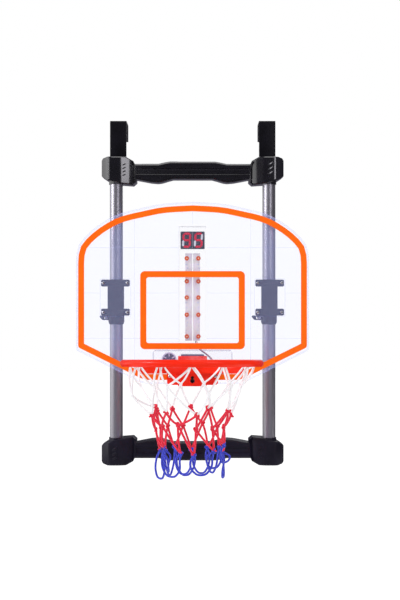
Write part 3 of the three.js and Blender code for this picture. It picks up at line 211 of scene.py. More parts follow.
def turned(corners, matrix=Matrix(), steps=64, closed=False):
    """Spin an outline of (radius, height) corners round the upright axis, then set it in its place."""
    bm = bmesh.new()
    verts = [bm.verts.new((radius, 0.0, height)) for radius, height in corners]
    pairs = list(zip(verts, verts[1:])) + ([(verts[-1], verts[0])] if closed else [])
    for pair in pairs:
        bm.edges.new(pair)
    bmesh.ops.spin(bm, geom=bm.verts[:] + bm.edges[:], cent=(0.0, 0.0, 0.0), axis=(0.0, 0.0, 1.0),
                   angle=math.tau, steps=steps, use_merge=True)
    bmesh.ops.remove_doubles(bm, verts=bm.verts[:], dist=1e-7)
    bmesh.ops.recalc_face_normals(bm, faces=bm.faces[:])
    bmesh.ops.transform(bm, matrix=matrix, verts=bm.verts[:])
    return bm


def shown(name, bm, material, body, stands_for=(), crease=32.0):
    """Make the piece, smooth but for its sharp edges, and let it ride on its body."""
    for face in bm.faces:
        face.smooth = True
    for edge in bm.edges:
        edge.smooth = len(edge.link_faces) == 2 and edge.calc_face_angle() < math.radians(crease)
    mesh = bpy.data.meshes.new(name)
    bm.to_mesh(mesh)
    bm.free()
    mesh.materials.append(material)
    piece = bpy.data.objects.new(name, mesh)
    scene.collection.objects.link(piece)
    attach(piece, body)
    if stands_for:
        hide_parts(*stands_for)
    return piece


plated_steel = finish("plated_steel", colour(168, 166, 173), colour(184, 182, 189), (0.36, 0.44), 0.02, 0.0006,
                      0.000002, stretch=(1.0, 1.0, 0.05), Metallic=0.9)
pole_wall, pole_edge = 0.0012, 0.0003
for side in ("left", "right"):
    low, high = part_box("pole_" + side)
    middle, radius = (low + high) / 2, (high.x - low.x) / 2
    half, bore = (high.z - low.z) / 2, radius - pole_wall
    tube = turned([
        (radius - pole_edge, half), (radius, half - pole_edge), (radius, pole_edge - half),
        (radius - pole_edge, -half), (bore, -half), (bore, half),
    ], Matrix.Translation(middle), closed=True)
    shown("steel_pole_" + side, tube, plated_steel, "door_frame", ["pole_" + side])

# Cross bars
# Two hollow bars moulded in black plastic, the lower one the same as the upper one turned over. A block
# at either end takes a pole, and its front curves back to both sides and carries raised grips. A plate
# closes each bar from behind.


def joined_copy(node, flat=0.5):
    """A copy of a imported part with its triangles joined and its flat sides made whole."""
    bm = bmesh.new()
    bm.from_mesh(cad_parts[node].data)
    bmesh.ops.remove_doubles(bm, verts=bm.verts[:], dist=0.00001)
    if flat:
        bmesh.ops.dissolve_limit(bm, angle_limit=math.radians(flat), verts=bm.verts[:], edges=bm.edges[:])
    return bm


def rounded(bm, width, crease=30.0, steps=2):
    """Round the sharp edges."""
    sharp = [edge for edge in bm.edges
             if len(edge.link_faces) == 2 and edge.calc_face_angle() > math.radians(crease)]
    bmesh.ops.bevel(bm, geom=sharp, offset=width, offset_type="OFFSET", segments=steps, profile=0.5,
                    affect="EDGES", clamp_overlap=True, material=-1)
    return bm


def prism(corners, along, start, end):
    """Push a flat outline along an axis. Its corners are given in the other two axes, in their order."""
    bm = bmesh.new()
    put = {"x": lambda a, b: (start, a, b), "y": lambda a, b: (a, start, b), "z": lambda a, b: (a, b, start)}[along]
    face = bm.faces.new([bm.verts.new(put(a, b)) for a, b in corners])
    moved = bmesh.ops.extrude_face_region(bm, geom=[face], use_keep_orig=True)["geom"]
    step = Vector([end - start if axis == along else 0.0 for axis in "xyz"])
    bmesh.ops.translate(bm, verts=[vert for vert in moved if isinstance(vert, bmesh.types.BMVert)], vec=step)
    bmesh.ops.recalc_face_normals(bm, faces=bm.faces[:])
    return bm


def slab(left, right, low, high, along, start, end):
    """A block, given its four sides and pushed along an axis."""
    return prism([(left, low), (right, low), (right, high), (left, high)], along, start, end)


def together(*parts):
    """One mesh of several."""
    whole = bmesh.new()
    for part in parts:
        mesh = bpy.data.meshes.new("part")
        part.to_mesh(mesh)
        part.free()
        whole.from_mesh(mesh)
        bpy.data.meshes.remove(mesh)
    return whole


def placed(bm, matrix):
    bmesh.ops.transform(bm, matrix=matrix, verts=bm.verts[:])
    return bm


def dressed(node, name, material, body, width, crease=30.0):
    """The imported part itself, its edges rounded to a width, in its finish and under a name of its own."""
    return shown(name, rounded(joined_copy(node), width, crease), material, body, [node])


def pill(length, width, start, end, steps=6):
    """A bar with round ends along X, standing from start to end along Y, with softened edges."""
    radius, reach = width / 2, (length - width) / 2
    corners = []
    for side, turn in ((1, -0.5), (-1, 0.5)):
        for step in range(steps + 1):
            angle = math.pi * (turn + step / steps)
            corners.append((side * reach + radius * math.cos(angle), radius * math.sin(angle)))
    return rounded(prism(corners, "y", start, end), min(width, abs(end - start)) * 0.3, crease=60.0)


gloss_black = finish("gloss_black", colour(8, 7, 12), colour(15, 13, 21), (0.16, 0.24), 0.03, 0.0007, 0.00002,
                     Specular_IOR_Level=1.0, Coat_Weight=1.0, Coat_Roughness=0.06)
# The lower bar is the same black moulding as the upper one. Its lighter, more violet tone is painted light, for the
# light that falls on it.
satin_black_painted_lighter = finish("satin_black_painted_lighter", colour(17, 14, 28), colour(26, 22, 40), (0.36, 0.46), 0.03, 0.0007, 0.00003,
                     Specular_IOR_Level=0.3)
flat_black = finish("flat_black", colour(22, 20, 26), colour(30, 28, 34), (0.5, 0.6), 0.03, 0.0009, 0.00003)


block_middle, block_half, block_back = 0.1663, 0.0372, 0.0268  # Along the bar, and how deep it curves
outer_slope, outer_start, inner_slope, inner_start = 0.58, 0.2, 0.36, 0.1  # Each cheek, and where it begins
turn_reach, edge_slope, edge_start = 0.3, 0.6, 0.62
pole_place, pole_behind, socket_reach = 0.166, 0.0193, 0.017
front_skin, skin_edge, side_room = 0.0026, 0.0028, 0.0005
cheek_cuts, cheek_steps = 15, 24


def eased(value, start, end):
    """0 before the start, 1 after the end, and a smooth rise between."""
    share = min(1.0, max(0.0, (value - start) / (end - start)))
    return share * share * (3 - 2 * share)


def cheek_depth(x):
    """How far a block's front lies back at a place along the bar: both cheeks curve away from its middle."""
    way = (abs(x) - block_middle) / block_half
    slope, start = (outer_slope, outer_start) if way > 0 else (inner_slope, inner_start)
    depth = 0.0
    for step in range(cheek_steps):
        place = abs(way) * (step + 0.5) / cheek_steps
        lean = slope * (eased(place, start, start + turn_reach) + edge_slope * eased(place, edge_start, 1.0))
        depth += lean * abs(way) * block_half / cheek_steps
    return depth


def cheeked(bm, front):
    """Curve the fronts of the two end blocks. Their backs and the pole sockets stay as they are."""
    for side in (-1, 1):
        for step in range(2 * cheek_cuts + 1):
            place = side * (block_middle + block_half * (step / cheek_cuts - 1))
            bmesh.ops.bisect_plane(bm, geom=bm.verts[:] + bm.edges[:] + bm.faces[:], dist=0.00002,
                                   plane_co=(place, 0.0, 0.0), plane_no=(1.0, 0.0, 0.0))
    for vert in bm.verts:
        x, y = abs(vert.co.x), vert.co.y - front
        socket = math.hypot(x - pole_place, y - pole_behind) < socket_reach
        if x > block_middle - block_half - side_room and y < block_back and (y < skin_edge or not socket):
            vert.co.y += cheek_depth(x) * min(1.0, (block_back - y) / (block_back - front_skin))
    return bm


grips = (  # Place along the bar, lean, length, width and the heights of the grips on each block
    (-0.1485, math.radians(4.0), 0.0095, 0.0026, (0.0145, 0.007, -0.0005, -0.008)),
    (0.1690, math.radians(10.5), 0.0150, 0.0052, (0.0165, 0.0065, -0.0035)),
)
grip_height, grip_sink, grip_slant = 0.0009, 0.0026, math.radians(28.0)
for bar, skin, turn in (("top_bar", gloss_black, 0.0), ("bottom_bar", satin_black_painted_lighter, math.pi)):
    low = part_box(bar)[0]
    front = low.y
    axis_height = 0.0 if bar == "top_bar" else low.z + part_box("top_bar")[1].z
    parts = [rounded(cheeked(joined_copy(bar), front), 0.0008, crease=20.0)]
    for middle, lean, length, width, rises in grips:
        for rise in rises:
            grip = pill(length, width, grip_sink, -grip_height)
            at = Matrix.Translation((middle, front + cheek_depth(middle), rise))
            parts.append(placed(grip, at @ Matrix.Rotation(lean, 4, "Z") @ Matrix.Rotation(-grip_slant, 4, "Y")))
    for part in parts[1:]:
        placed(part, Matrix.Translation((0.0, 0.0, axis_height)) @ Matrix.Rotation(turn, 4, "Y"))
    shown(bar + "_moulding", together(*parts), skin, "door_frame", [bar])
    dressed(bar + "_cover", bar + "_back_plate", flat_black, "door_frame", 0.0005)

# Foam pads and strips
# Closed-cell foam, cut from sheet. A pad is glued to the back of each bar and a strip inside each hook,
# and they keep the hoop from marking the door.
soft_foam = finish("soft_foam", colour(44, 43, 48), colour(62, 60, 66), (0.85, 0.95), 0.004, 0.0008, 0.00025)


def crowned(bm, rise, axis=1):
    """Let the middle of a flat pad stand proud of its edges."""
    bmesh.ops.subdivide_edges(bm, edges=bm.edges[:], cuts=5, use_grid_fill=True)
    low = [min(vert.co[i] for vert in bm.verts) for i in range(3)]
    high = [max(vert.co[i] for vert in bm.verts) for i in range(3)]
    across = [i for i in range(3) if i != axis]
    for vert in bm.verts:
        shares = [2 * (vert.co[i] - low[i]) / (high[i] - low[i]) - 1 for i in across]
        swell = max(0.0, 1 - abs(shares[0]) ** 6) * max(0.0, 1 - abs(shares[1]) ** 4)
        vert.co[axis] -= rise * (1 - swell) * (vert.co[axis] - low[axis]) / (high[axis] - low[axis])
    return bm


for bar in ("top_bar", "bottom_bar"):
    pad = crowned(rounded(joined_copy(bar + "_pad"), 0.0009, steps=3), 0.0007)
    shown(bar + "_foam", pad, soft_foam, "door_frame", [bar + "_pad"])
for side in ("left", "right"):
    dressed("hook_liner_" + side, "hook_foam_" + side, soft_foam, "door_frame", 0.0005)

# Hooks
# Each is one flat strap of black coated steel, bent to go over the top of the door. Its front leg is
# pushed into a slot of the upper bar.
coated_steel = finish("coated_steel", colour(7, 6, 12), colour(14, 12, 21), (0.42, 0.52), 0.02, 0.0006, 0.00004,
                      Specular_IOR_Level=0.15)
for side in ("left", "right"):
    dressed("hook_" + side, "door_hook_" + side, coated_steel, "door_frame", 0.0004, crease=40.0)

# Backboard
# One clear moulding, cool in tone: a sheet with a turned lip, thin ribs at its quarters and a frame
# round each bracket.


plastic_index, window_veil = 1.58, 0.3


def clear_finish(name, tone, glow, veil, rim_veil, thick_veil, gloss, window=None):
    """Clear plastic: little of it shows face on, and more at its edges and where the attribute thick is 1.
    glow is painted light: a cool glow the sheet gives off, in place of the light it scatters over dark parts.
    window is a clearer part of the sheet, given as its middle and then its half size, both across and up."""
    material = bpy.data.materials.new(name)
    material.use_nodes = True
    tree = material.node_tree
    shader = tree.nodes["Principled BSDF"]
    place = node_in(tree, "ShaderNodeTexCoord").outputs["Object"]
    flow = node_in(tree, "ShaderNodeTexNoise", {"Vector": place, "Scale": 14.0, "Detail": 2.0}).outputs[0]
    rough = node_in(tree, "ShaderNodeMapRange", {"Value": flow, "To Min": gloss[0], "To Max": gloss[1]})
    edge = node_in(tree, "ShaderNodeLayerWeight", {"Blend": 0.25}).outputs["Facing"]
    see = node_in(tree, "ShaderNodeMapRange", {"Value": edge, "To Min": veil, "To Max": rim_veil})
    thick = node_in(tree, "ShaderNodeAttribute", attribute_name="thick").outputs["Fac"]
    veiled = node_in(tree, "ShaderNodeMath", {0: thick, 1: thick_veil, 2: see.outputs[0]}, operation="MULTIPLY_ADD")
    if window:
        parts = node_in(tree, "ShaderNodeSeparateXYZ", {"Vector": place}).outputs
        across, up = (node_in(tree, "ShaderNodeMath", {0: parts[axis], 1: middle, 2: half}, operation="COMPARE")
                      for axis, middle, half in zip("XZ", *window))
        inside = node_in(tree, "ShaderNodeMath", {0: across.outputs[0], 1: up.outputs[0]}, operation="MULTIPLY")
        kept = node_in(tree, "ShaderNodeMapRange", {
            "Value": inside.outputs[0], "To Min": 1.0, "To Max": window_veil}).outputs[0]
        veiled = node_in(tree, "ShaderNodeMath", {0: veiled.outputs[0], 1: kept}, operation="MULTIPLY")
    bump = node_in(tree, "ShaderNodeBump", {"Height": flow, "Strength": 1.0, "Distance": 0.0001})
    tones = node_in(tree, "ShaderNodeValToRGB", {"Fac": flow})
    for stop, level in zip(tones.color_ramp.elements, (0.96, 1.0)):
        stop.color = tuple(level * part for part in tone[:3]) + (1.0,)
    tree.links.new(tones.outputs["Color"], shader.inputs["Base Color"])
    tree.links.new(rough.outputs[0], shader.inputs["Roughness"])
    tree.links.new(veiled.outputs[0], shader.inputs["Alpha"])
    tree.links.new(bump.outputs[0], shader.inputs["Normal"])
    shader.inputs["IOR"].default_value = plastic_index
    # Painted light: the sheet emits its glow colour at strength 1, in place of the light it scatters.
    shader.inputs["Emission Color"].default_value = (*glow, 1.0)
    shader.inputs["Emission Strength"].default_value = 1.0
    return material


score_window = ((0.0005, -0.243), (0.0305, 0.127))
# The board's blue glow is painted light, scattered light given as emission.
clear_plastic = clear_finish("clear_plastic", (0.76, 0.79, 1.0), (0.02, 0.06, 0.32), veil=0.09, rim_veil=0.5,
                             thick_veil=0.12, gloss=(0.06, 0.14), window=score_window)
board = joined_copy("backboard", flat=0.0)
sheet_depth = 0.0034
sheet_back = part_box("backboard")[0].y + sheet_depth
thick = board.faces.layers.float.new("thick")
for face in board.faces:
    face[thick] = 1.0 if face.calc_center_median().y > sheet_back and face.normal.y > 0.9 else 0.0
shown("clear_backboard", board, clear_plastic, "board_carriage", ["backboard"], crease=8.0)

# Printed border and square
# Two bands of orange ink, screen printed on the front face before the board is mounted.
orange_ink = finish("orange_ink", colour(250, 100, 0), colour(255, 108, 0), (0.32, 0.4), 0.05, 0.0008, 0.00001,
                    Specular_IOR_Level=0.15)
for node, name in (("border_stripe", "printed_border"), ("target_square", "printed_square")):
    shown(name, joined_copy(node, flat=0.0), orange_ink, "board_carriage", [node])

# Brackets
# Two black sleeves, moulded with four corner flanges, that slide on the poles and carry the board.
bracket_plastic = finish("bracket_plastic", colour(14, 13, 20), colour(24, 23, 32), (0.4, 0.52), 0.02, 0.0006, 0.00004,
                         Specular_IOR_Level=0.3)
for side in ("left", "right"):
    dressed("board_bracket_" + side, "sliding_bracket_" + side, bracket_plastic, "board_carriage",
            0.0006)

# Screws
# Zinc-plated pan-head screws with a cross recess: eight go through the board into the bracket flanges,
# and two with a nut behind hold the rim.
zinc = finish("zinc", colour(196, 196, 202), colour(222, 222, 228), (0.25, 0.38), 0.004, 0.0004, 0.00001, Metallic=1.0)
# The cross recess is darker zinc: painted shade in the recess.
recess_painted_shade = finish("recess_painted_shade", colour(70, 70, 76), colour(96, 96, 102), (0.5, 0.6), 0.002, 0.0004, 0.00001,
                     Metallic=1.0)


cross_turn, cross_reach, cross_width = 0.35, 0.55, 0.11  # The sizes are shares of the head's radius
cross_depth, cross_sink = 0.0001, 0.00006


def cross_recess(centre, reach, width):
    """The cross in a screw head, a little sunk, seen from the front. Its darker zinc is painted shade of the recess.
    """
    arms = []
    for turn in (cross_turn, cross_turn + math.pi / 2):
        arm = slab(-reach, reach, -width, width, "y", -cross_depth, cross_depth)
        arms.append(placed(rounded(arm, width * 0.4), Matrix.Translation(centre) @ Matrix.Rotation(turn, 4, "Y")))
    return together(*arms)


screws = [(f"bracket_screw_{i}", f"pan_head_screw_{i}") for i in range(1, 9)]
screws += [("rim_bolt_" + side, "rim_screw_" + side) for side in ("left", "right")]
for node, name in screws:
    low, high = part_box(node)
    middle = (low + high) / 2
    radius = (high.x - low.x) / 2
    dressed(node, name, zinc, "board_carriage", 0.0003)
    cross = cross_recess((middle.x, low.y + cross_sink, middle.z), radius * cross_reach, radius * cross_width)
    shown(name + "_cross", cross, recess_painted_shade, "board_carriage")
for side in ("left", "right"):
    dressed("rim_nut_" + side, "rim_hex_nut_" + side, zinc, "board_carriage", 0.0003)

# Clamp collars
# Split rings moulded in black plastic, one round each pole under its bracket. A zinc-plated bolt through
# the two lugs and a cam lever close the ring, and the board stays where it is put.
for side in ("left", "right"):
    body = "collar_" + side
    dressed("clamp_collar_" + side, "split_collar_" + side, bracket_plastic, body, 0.0004)
    dressed("clamp_bolt_" + side, "collar_bolt_" + side, zinc, body, 0.0002)
    dressed("clamp_lever_" + side, "cam_lever_" + side, bracket_plastic, "lever_" + side, 0.0005)

# Score housing, electronics case and battery door
# Three clear mouldings. The housing and the case are fixed to the back of the board, and the door pulls
# straight out of the opening in the back of the case.
# The housing's faint blue glow is painted light, given as emission.
clear_housing = clear_finish("clear_housing", (0.86, 0.84, 0.92), (0.0, 0.0, 0.03), veil=0.03, rim_veil=0.6,
                             thick_veil=0.0, gloss=(0.06, 0.14))
for node, name, body in (("score_housing", "clear_score_housing", "board_carriage"),
                         ("electronics_case", "clear_case", "board_carriage"),
                         ("battery_door", "clear_battery_door", "battery_lid")):
    shown(name, joined_copy(node, flat=0.0), clear_housing, body, [node])

# Score display
# A block of dark resin with two seven-segment digits in its face. The lit bars glow red and the others
# are pale.
display_resin = finish("display_resin", colour(46, 46, 52), colour(58, 57, 64), (0.25, 0.35), 0.01, 0.0005, 0.00001)
bar_lit = finish("bar_lit", colour(160, 4, 30), colour(176, 8, 40), (0.3, 0.4), 0.01, 0.0005, 0.00001,
                 Specular_IOR_Level=0.2, Emission_Color=colour(190, 0, 36), Emission_Strength=0.4)
bar_unlit = finish("bar_unlit", colour(196, 196, 204), colour(214, 214, 222), (0.3, 0.4), 0.01, 0.0005, 0.00001)
dressed("score_display", "display_block", display_resin, "board_carriage", 0.0003)
low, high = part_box("score_display")
digit_width, digit_height, digit_bar, digit_gap, digit_lean = 0.0188, 0.0326, 0.0046, 0.0002, 0.05
digit_apart, split_half = 0.0127, 0.0006
bar_front, bar_back = low.y - 0.00012, low.y + 0.0004


def segment(start, end):
    """One bar of a digit: a strip between two corners of the figure with pointed ends."""
    run = (Vector(end) - Vector(start)).normalized()
    side = Vector((-run.y, run.x)) * digit_bar / 2
    first, last = Vector(start) + run * digit_gap, Vector(end) - run * digit_gap
    tip = run * digit_bar / 2
    return [first, first + tip + side, last - tip + side, last, last - tip - side, first + tip - side]


def digit(places, middle):
    """The bars of one digit at the named places, leaning a little to the right."""
    wide, tall = (digit_width - digit_bar) / 2, (digit_height - digit_bar) / 2
    ends = {"top": ((-wide, tall), (wide, tall)), "centre": ((-wide, 0.0), (wide, 0.0)),
            "foot": ((-wide, -tall), (wide, -tall)), "high_left": ((-wide, 0.0), (-wide, tall)),
            "high_right": ((wide, 0.0), (wide, tall)), "low_left": ((-wide, -tall), (-wide, 0.0)),
            "low_right": ((wide, -tall), (wide, 0.0))}
    bars = []
    for place in places:
        corners = [(middle.x + point.x + digit_lean * point.y, middle.z + point.y) for point in segment(*ends[place])]
        bars.append(prism(corners, "y", bar_back, bar_front))
    return together(*bars)


middle = (low + high) / 2
left_digit = middle + Vector((-digit_apart, 0.0, 0.0))
right_digit = middle + Vector((digit_apart, 0.0, 0.0))
lit = together(digit(("top", "centre", "foot", "high_left", "high_right", "low_right"), left_digit),
               digit(("top", "centre", "foot", "high_left", "low_right"), right_digit))
unlit = together(digit(("low_left",), left_digit), digit(("high_right", "low_left"), right_digit))
shown("display_bars_lit", lit, bar_lit, "board_carriage")
shown("display_bars_unlit", unlit, bar_unlit, "board_carriage")
split = slab(middle.x - split_half, middle.x + split_half, low.z, high.z, "y", bar_back, bar_front)
split_grey = finish("split_grey", colour(112, 112, 124), colour(128, 128, 140), (0.4, 0.5), 0.01, 0.0006, 0.00001)
shown("display_split", split, split_grey, "board_carriage")

# Lamp boards
# Two narrow pale circuit boards that lie in the score housing. Five clear lamps in orange collars and
# small parts between them are soldered to each.
lamp_resin = finish("lamp_resin", colour(226, 226, 222), colour(232, 224, 240), (0.4, 0.5), 0.012, 0.0005, 0.00002)
pale_plastic = finish("pale_plastic", colour(190, 198, 226), colour(206, 214, 240), (0.4, 0.5), 0.01, 0.0006, 0.00001)
collar_orange = finish("collar_orange", colour(206, 78, 0), colour(220, 90, 0), (0.3, 0.4), 0.004, 0.0004, 0.00001,
                       Specular_IOR_Level=0.2)
lens_clear = finish("lens_clear", colour(255, 204, 150), colour(255, 220, 172), (0.12, 0.2), 0.004, 0.0004, 0.00001)
lamp_shares = (0.058, 0.321, 0.506, 0.703, 0.951)
lamp_margin, lamp_sheet = 0.0015, 0.0016
lamp_inset, collar_radius, lens_radius, collar_edge = 0.0048, 0.0048, 0.0016, 0.0006
chip_first, chip_last, lamp_clear, chip_half, chip_rise = 0.024, 0.012, 0.009, 0.0008, 0.001
facing_front = Matrix.Rotation(math.pi / 2, 4, "X")
for side, sign in (("left", -1), ("right", 1)):
    low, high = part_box("lamp_board_" + side)
    back, front = high.y, low.y
    left, right = low.x + lamp_margin * (sign < 0), high.x - lamp_margin * (sign > 0)
    lamp_x = low.x + lamp_inset if sign < 0 else high.x - lamp_inset
    sheet = rounded(slab(left, right, low.z, high.z, "y", back, back - lamp_sheet), 0.0003)
    shown("lamp_strip_" + side, sheet, lamp_resin, "board_carriage", ["lamp_board_" + side])
    collars, lenses, parts = [], [], []
    for share in lamp_shares:
        at = Matrix.Translation((lamp_x, back - lamp_sheet, high.z - share * (high.z - low.z))) @ facing_front
        tall = back - lamp_sheet - front
        collars.append(turned([
            (lens_radius, 0.0), (collar_radius, 0.0), (collar_radius, tall - collar_edge),
            (collar_radius - collar_edge, tall),
            (lens_radius + 0.0005, tall), (lens_radius, tall - 0.0005),
        ], at, steps=32, closed=True))
        lenses.append(turned([
            (0.0, 0.0), (lens_radius - 0.0001, 0.0), (lens_radius - 0.0001, tall - 0.0012),
            (lens_radius * 0.7, tall - 0.0006), (0.0, tall - 0.0003),
        ], at, steps=24))
    chooser = random.Random(5)
    z = high.z - chip_first
    while z > low.z + chip_last:
        if min(abs(z - (high.z - share * (high.z - low.z))) for share in lamp_shares) > lamp_clear:
            half = chooser.choice((0.0011, 0.0016, 0.0022))
            x = lamp_x + chooser.uniform(-0.002, 0.002)
            parts.append(rounded(slab(x - half, x + half, z - chip_half, z + chip_half, "y", back - lamp_sheet,
                                      back - lamp_sheet - chip_rise), 0.0002))
        z -= chooser.uniform(0.006, 0.011)
    shown("lamp_collars_" + side, together(*collars), collar_orange, "board_carriage")
    shown("lamp_lenses_" + side, together(*lenses), lens_clear, "board_carriage")
    shown("lamp_parts_" + side, together(*parts), pale_plastic, "board_carriage")

# Cells
# Three steel cans in a grey sleeve, each with a raised cap. They lie one above the other in the case,
# behind the battery door.
cell_sleeve = finish("cell_sleeve", colour(64, 66, 76), colour(78, 80, 92), (0.25, 0.35), 0.006, 0.0005, 0.00001,
                     Metallic=0.4)
cap_radius, cap_height, cap_edge, cell_shoulder = 0.0027, 0.0012, 0.0003, 0.0009
for number in (1, 2, 3):
    low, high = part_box(f"battery_{number}")
    middle, radius, half = (low + high) / 2, (high.z - low.z) / 2, (high.x - low.x) / 2
    neck = half - cap_height
    cell = turned([
        (0.0, -half), (radius - cell_shoulder, -half), (radius, cell_shoulder - half),
        (radius, neck - 3 * cell_shoulder), (radius - cell_shoulder, neck - cell_shoulder), (cap_radius, neck),
        (cap_radius, half - cap_edge), (cap_radius - cap_edge, half), (0.0, half),
    ], Matrix.Translation(middle) @ Matrix.Rotation(math.pi / 2, 4, "Y"), steps=48)
    shown(f"cell_{number}", cell, cell_sleeve, "board_carriage", [f"battery_{number}"])

# Loudspeaker
# A basket pressed from thin steel, with six spokes in front of a domed paper cone. A round magnet is
# glued behind it.
basket_steel = finish("basket_steel", colour(208, 204, 216), colour(226, 222, 232), (0.35, 0.45), 0.006, 0.0005,
                      0.00001)
cone_paper = finish("cone_paper", colour(22, 19, 26), colour(34, 30, 38), (0.7, 0.85), 0.004, 0.0005, 0.00006)
magnet_grey = finish("magnet_grey", colour(44, 42, 50), colour(58, 56, 64), (0.5, 0.6), 0.006, 0.0006, 0.00003)
low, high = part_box("speaker_frame")
middle, radius, deep = (low + high) / 2, (high.x - low.x) / 2, high.y - low.y
basket_at = Matrix.Translation((middle.x, low.y, middle.z)) @ facing_front
ring_width, hub_radius, spoke_half, spoke_back, spoke_front = 0.0026, 0.008, 0.0011, -0.0032, -0.0012
basket = [turned([
    (radius - ring_width, -deep), (radius, -deep), (radius, -0.0005), (radius - 0.0005, 0.0),
    (radius - ring_width + 0.0004, 0.0), (radius - ring_width, -0.0004),
], basket_at, steps=64, closed=True)]
for turn in range(6):
    spoke = slab(hub_radius - 0.001, radius - ring_width + 0.0006, -spoke_half, spoke_half, "z", spoke_back,
                 spoke_front)
    basket.append(placed(rounded(spoke, 0.0003), basket_at @ Matrix.Rotation((turn + 0.5) * math.tau / 6, 4, "Z")))
shown("speaker_basket", together(*basket), basket_steel, "board_carriage", ["speaker_frame"])
cone = turned([
    (radius - ring_width - 0.0001, -0.0022), (radius - ring_width - 0.0014, -0.0016), (hub_radius, -0.0034),
    (hub_radius * 0.9, -0.0034), (hub_radius * 0.7, -0.0022), (hub_radius * 0.4, -0.0014), (0.0, -0.0011),
    (0.0, -0.0038), (radius - ring_width - 0.0001, -0.0038),
], basket_at, steps=64)
shown("speaker_cone", cone, cone_paper, "board_carriage")
dressed("speaker_magnet", "speaker_core", magnet_grey, "board_carriage", 0.0006)

# Circuit boards and switch
# Two boards of green glass resin with soldered joints: the main one in the case, the small one behind the
# rim's window. The knob of the slide switch is black plastic.
board_green = finish("board_green", colour(38, 92, 62), colour(52, 112, 76), (0.35, 0.5), 0.003, 0.0005, 0.00002)
solder = finish("solder", colour(190, 190, 196), colour(214, 214, 220), (0.2, 0.35), 0.002, 0.0003, 0.00001,
                Metallic=1.0)
knob_black = finish("knob_black", colour(24, 22, 28), colour(34, 32, 38), (0.4, 0.5), 0.004, 0.0005, 0.00002)
joint_outline = [(0.0, 0.0), (0.0008, 0.0), (0.0004, 0.0003), (0.0, 0.00035)]
joint_margin, main_sheet = 0.003, 0.0016
for node, name, count in (("main_circuit_board", "main_board", 26), ("sensor_board", "small_board", 10)):
    dressed(node, name, board_green, "board_carriage", 0.0002)
    low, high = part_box(node)
    front = low.y if node == "sensor_board" else high.y - main_sheet
    chooser = random.Random(8)
    joints = []
    for _ in range(count):
        x = chooser.uniform(low.x + joint_margin, high.x - joint_margin)
        z = chooser.uniform(low.z + joint_margin, high.z - joint_margin)
        joints.append(turned(joint_outline, Matrix.Translation((x, front, z)) @ facing_front, steps=12))
    shown(name + "_joints", together(*joints), solder, "board_carriage")
dressed("power_switch", "switch_knob", knob_black, "switch", 0.0004)

# Signal wires
# Two thin stranded wires in soft insulation, one red and one black, run from the lamp boards down to the
# main board. Both ends of each are soldered.


def smooth_run(points, steps, closed=False):
    """Points along a smooth curve through all the given ones."""
    points = [Vector(point) for point in points]
    if closed:
        ends = [points[-1]] + points + points[:2]
    else:
        ends = [2 * points[0] - points[1]] + points + [2 * points[-1] - points[-2]]
    run = []
    for i in range(1, len(ends) - 2):
        a, b, c, d = ends[i - 1:i + 3]
        for step in range(steps):
            t = step / steps
            run.append((2 * b + (c - a) * t + (2 * a - 5 * b + 4 * c - d) * t * t
                        + (3 * b - a - 3 * c + d) * t ** 3) / 2)
    return run if closed else run + [points[-1]]


def cord(bm, points, radius, steps=6, sides=8, closed=False):
    """Sweep a round cord along a smooth curve. Its UVs count turns round it and radii along it."""
    run = smooth_run(points, steps, closed)
    layer = bm.loops.layers.uv.verify()
    count = len(run)
    rings, travel, way = [], [], 0.0
    normal = None
    for i, point in enumerate(run):
        ahead = run[(i + 1) % count] if closed else run[min(i + 1, count - 1)]
        behind = run[i - 1] if closed or i else run[0]
        tangent = (ahead - behind).normalized()
        if normal is None:
            normal = tangent.orthogonal().normalized()
        normal = (normal - tangent * normal.dot(tangent)).normalized()
        across = tangent.cross(normal)
        ring = []
        for side in range(sides):
            angle = math.tau * side / sides
            ring.append(bm.verts.new(point + radius * (math.cos(angle) * normal + math.sin(angle) * across)))
        rings.append(ring)
        travel.append(way)
        way += (ahead - point).length / radius
    travel.append(way)
    for i in range(count if closed else count - 1):
        first, second = rings[i], rings[(i + 1) % count]
        for side in range(sides):
            after = (side + 1) % sides
            face = bm.faces.new((first[side], first[after], second[after], second[side]))
            shares = ((side, travel[i]), (side + 1, travel[i]), (side + 1, travel[i + 1]), (side, travel[i + 1]))
            for loop, (turn, way) in zip(face.loops, shares):
                loop[layer].uv = (turn / sides, way)
    if not closed:
        bm.faces.new(list(reversed(rings[0])))
        bm.faces.new(rings[-1])
    return bm


wire_route = (  # In millimetres
    (9, -43, -366.6), (11, -45, -374), (19, -47, -386), (30, -46, -394), (40, -41, -403), (46, -31.2, -412))
wire_pitch, wire_radius = 3.0, 0.0008
for shade, tone, shift in (("red", (196, 28, 44), 0.0), ("black", (20, 18, 24), -wire_pitch)):
    cover = finish("wire_" + shade, colour(*tone), colour(*tone), (0.35, 0.45), 0.01, 0.0005, 0.00001)
    run = [((x + shift) / 1000, y / 1000, z / 1000) for x, y, z in wire_route]
    shown(shade + "_lead", cord(bmesh.new(), run, wire_radius, steps=8, sides=12), cover, "board_carriage",
          ["signal_wire_" + shade])

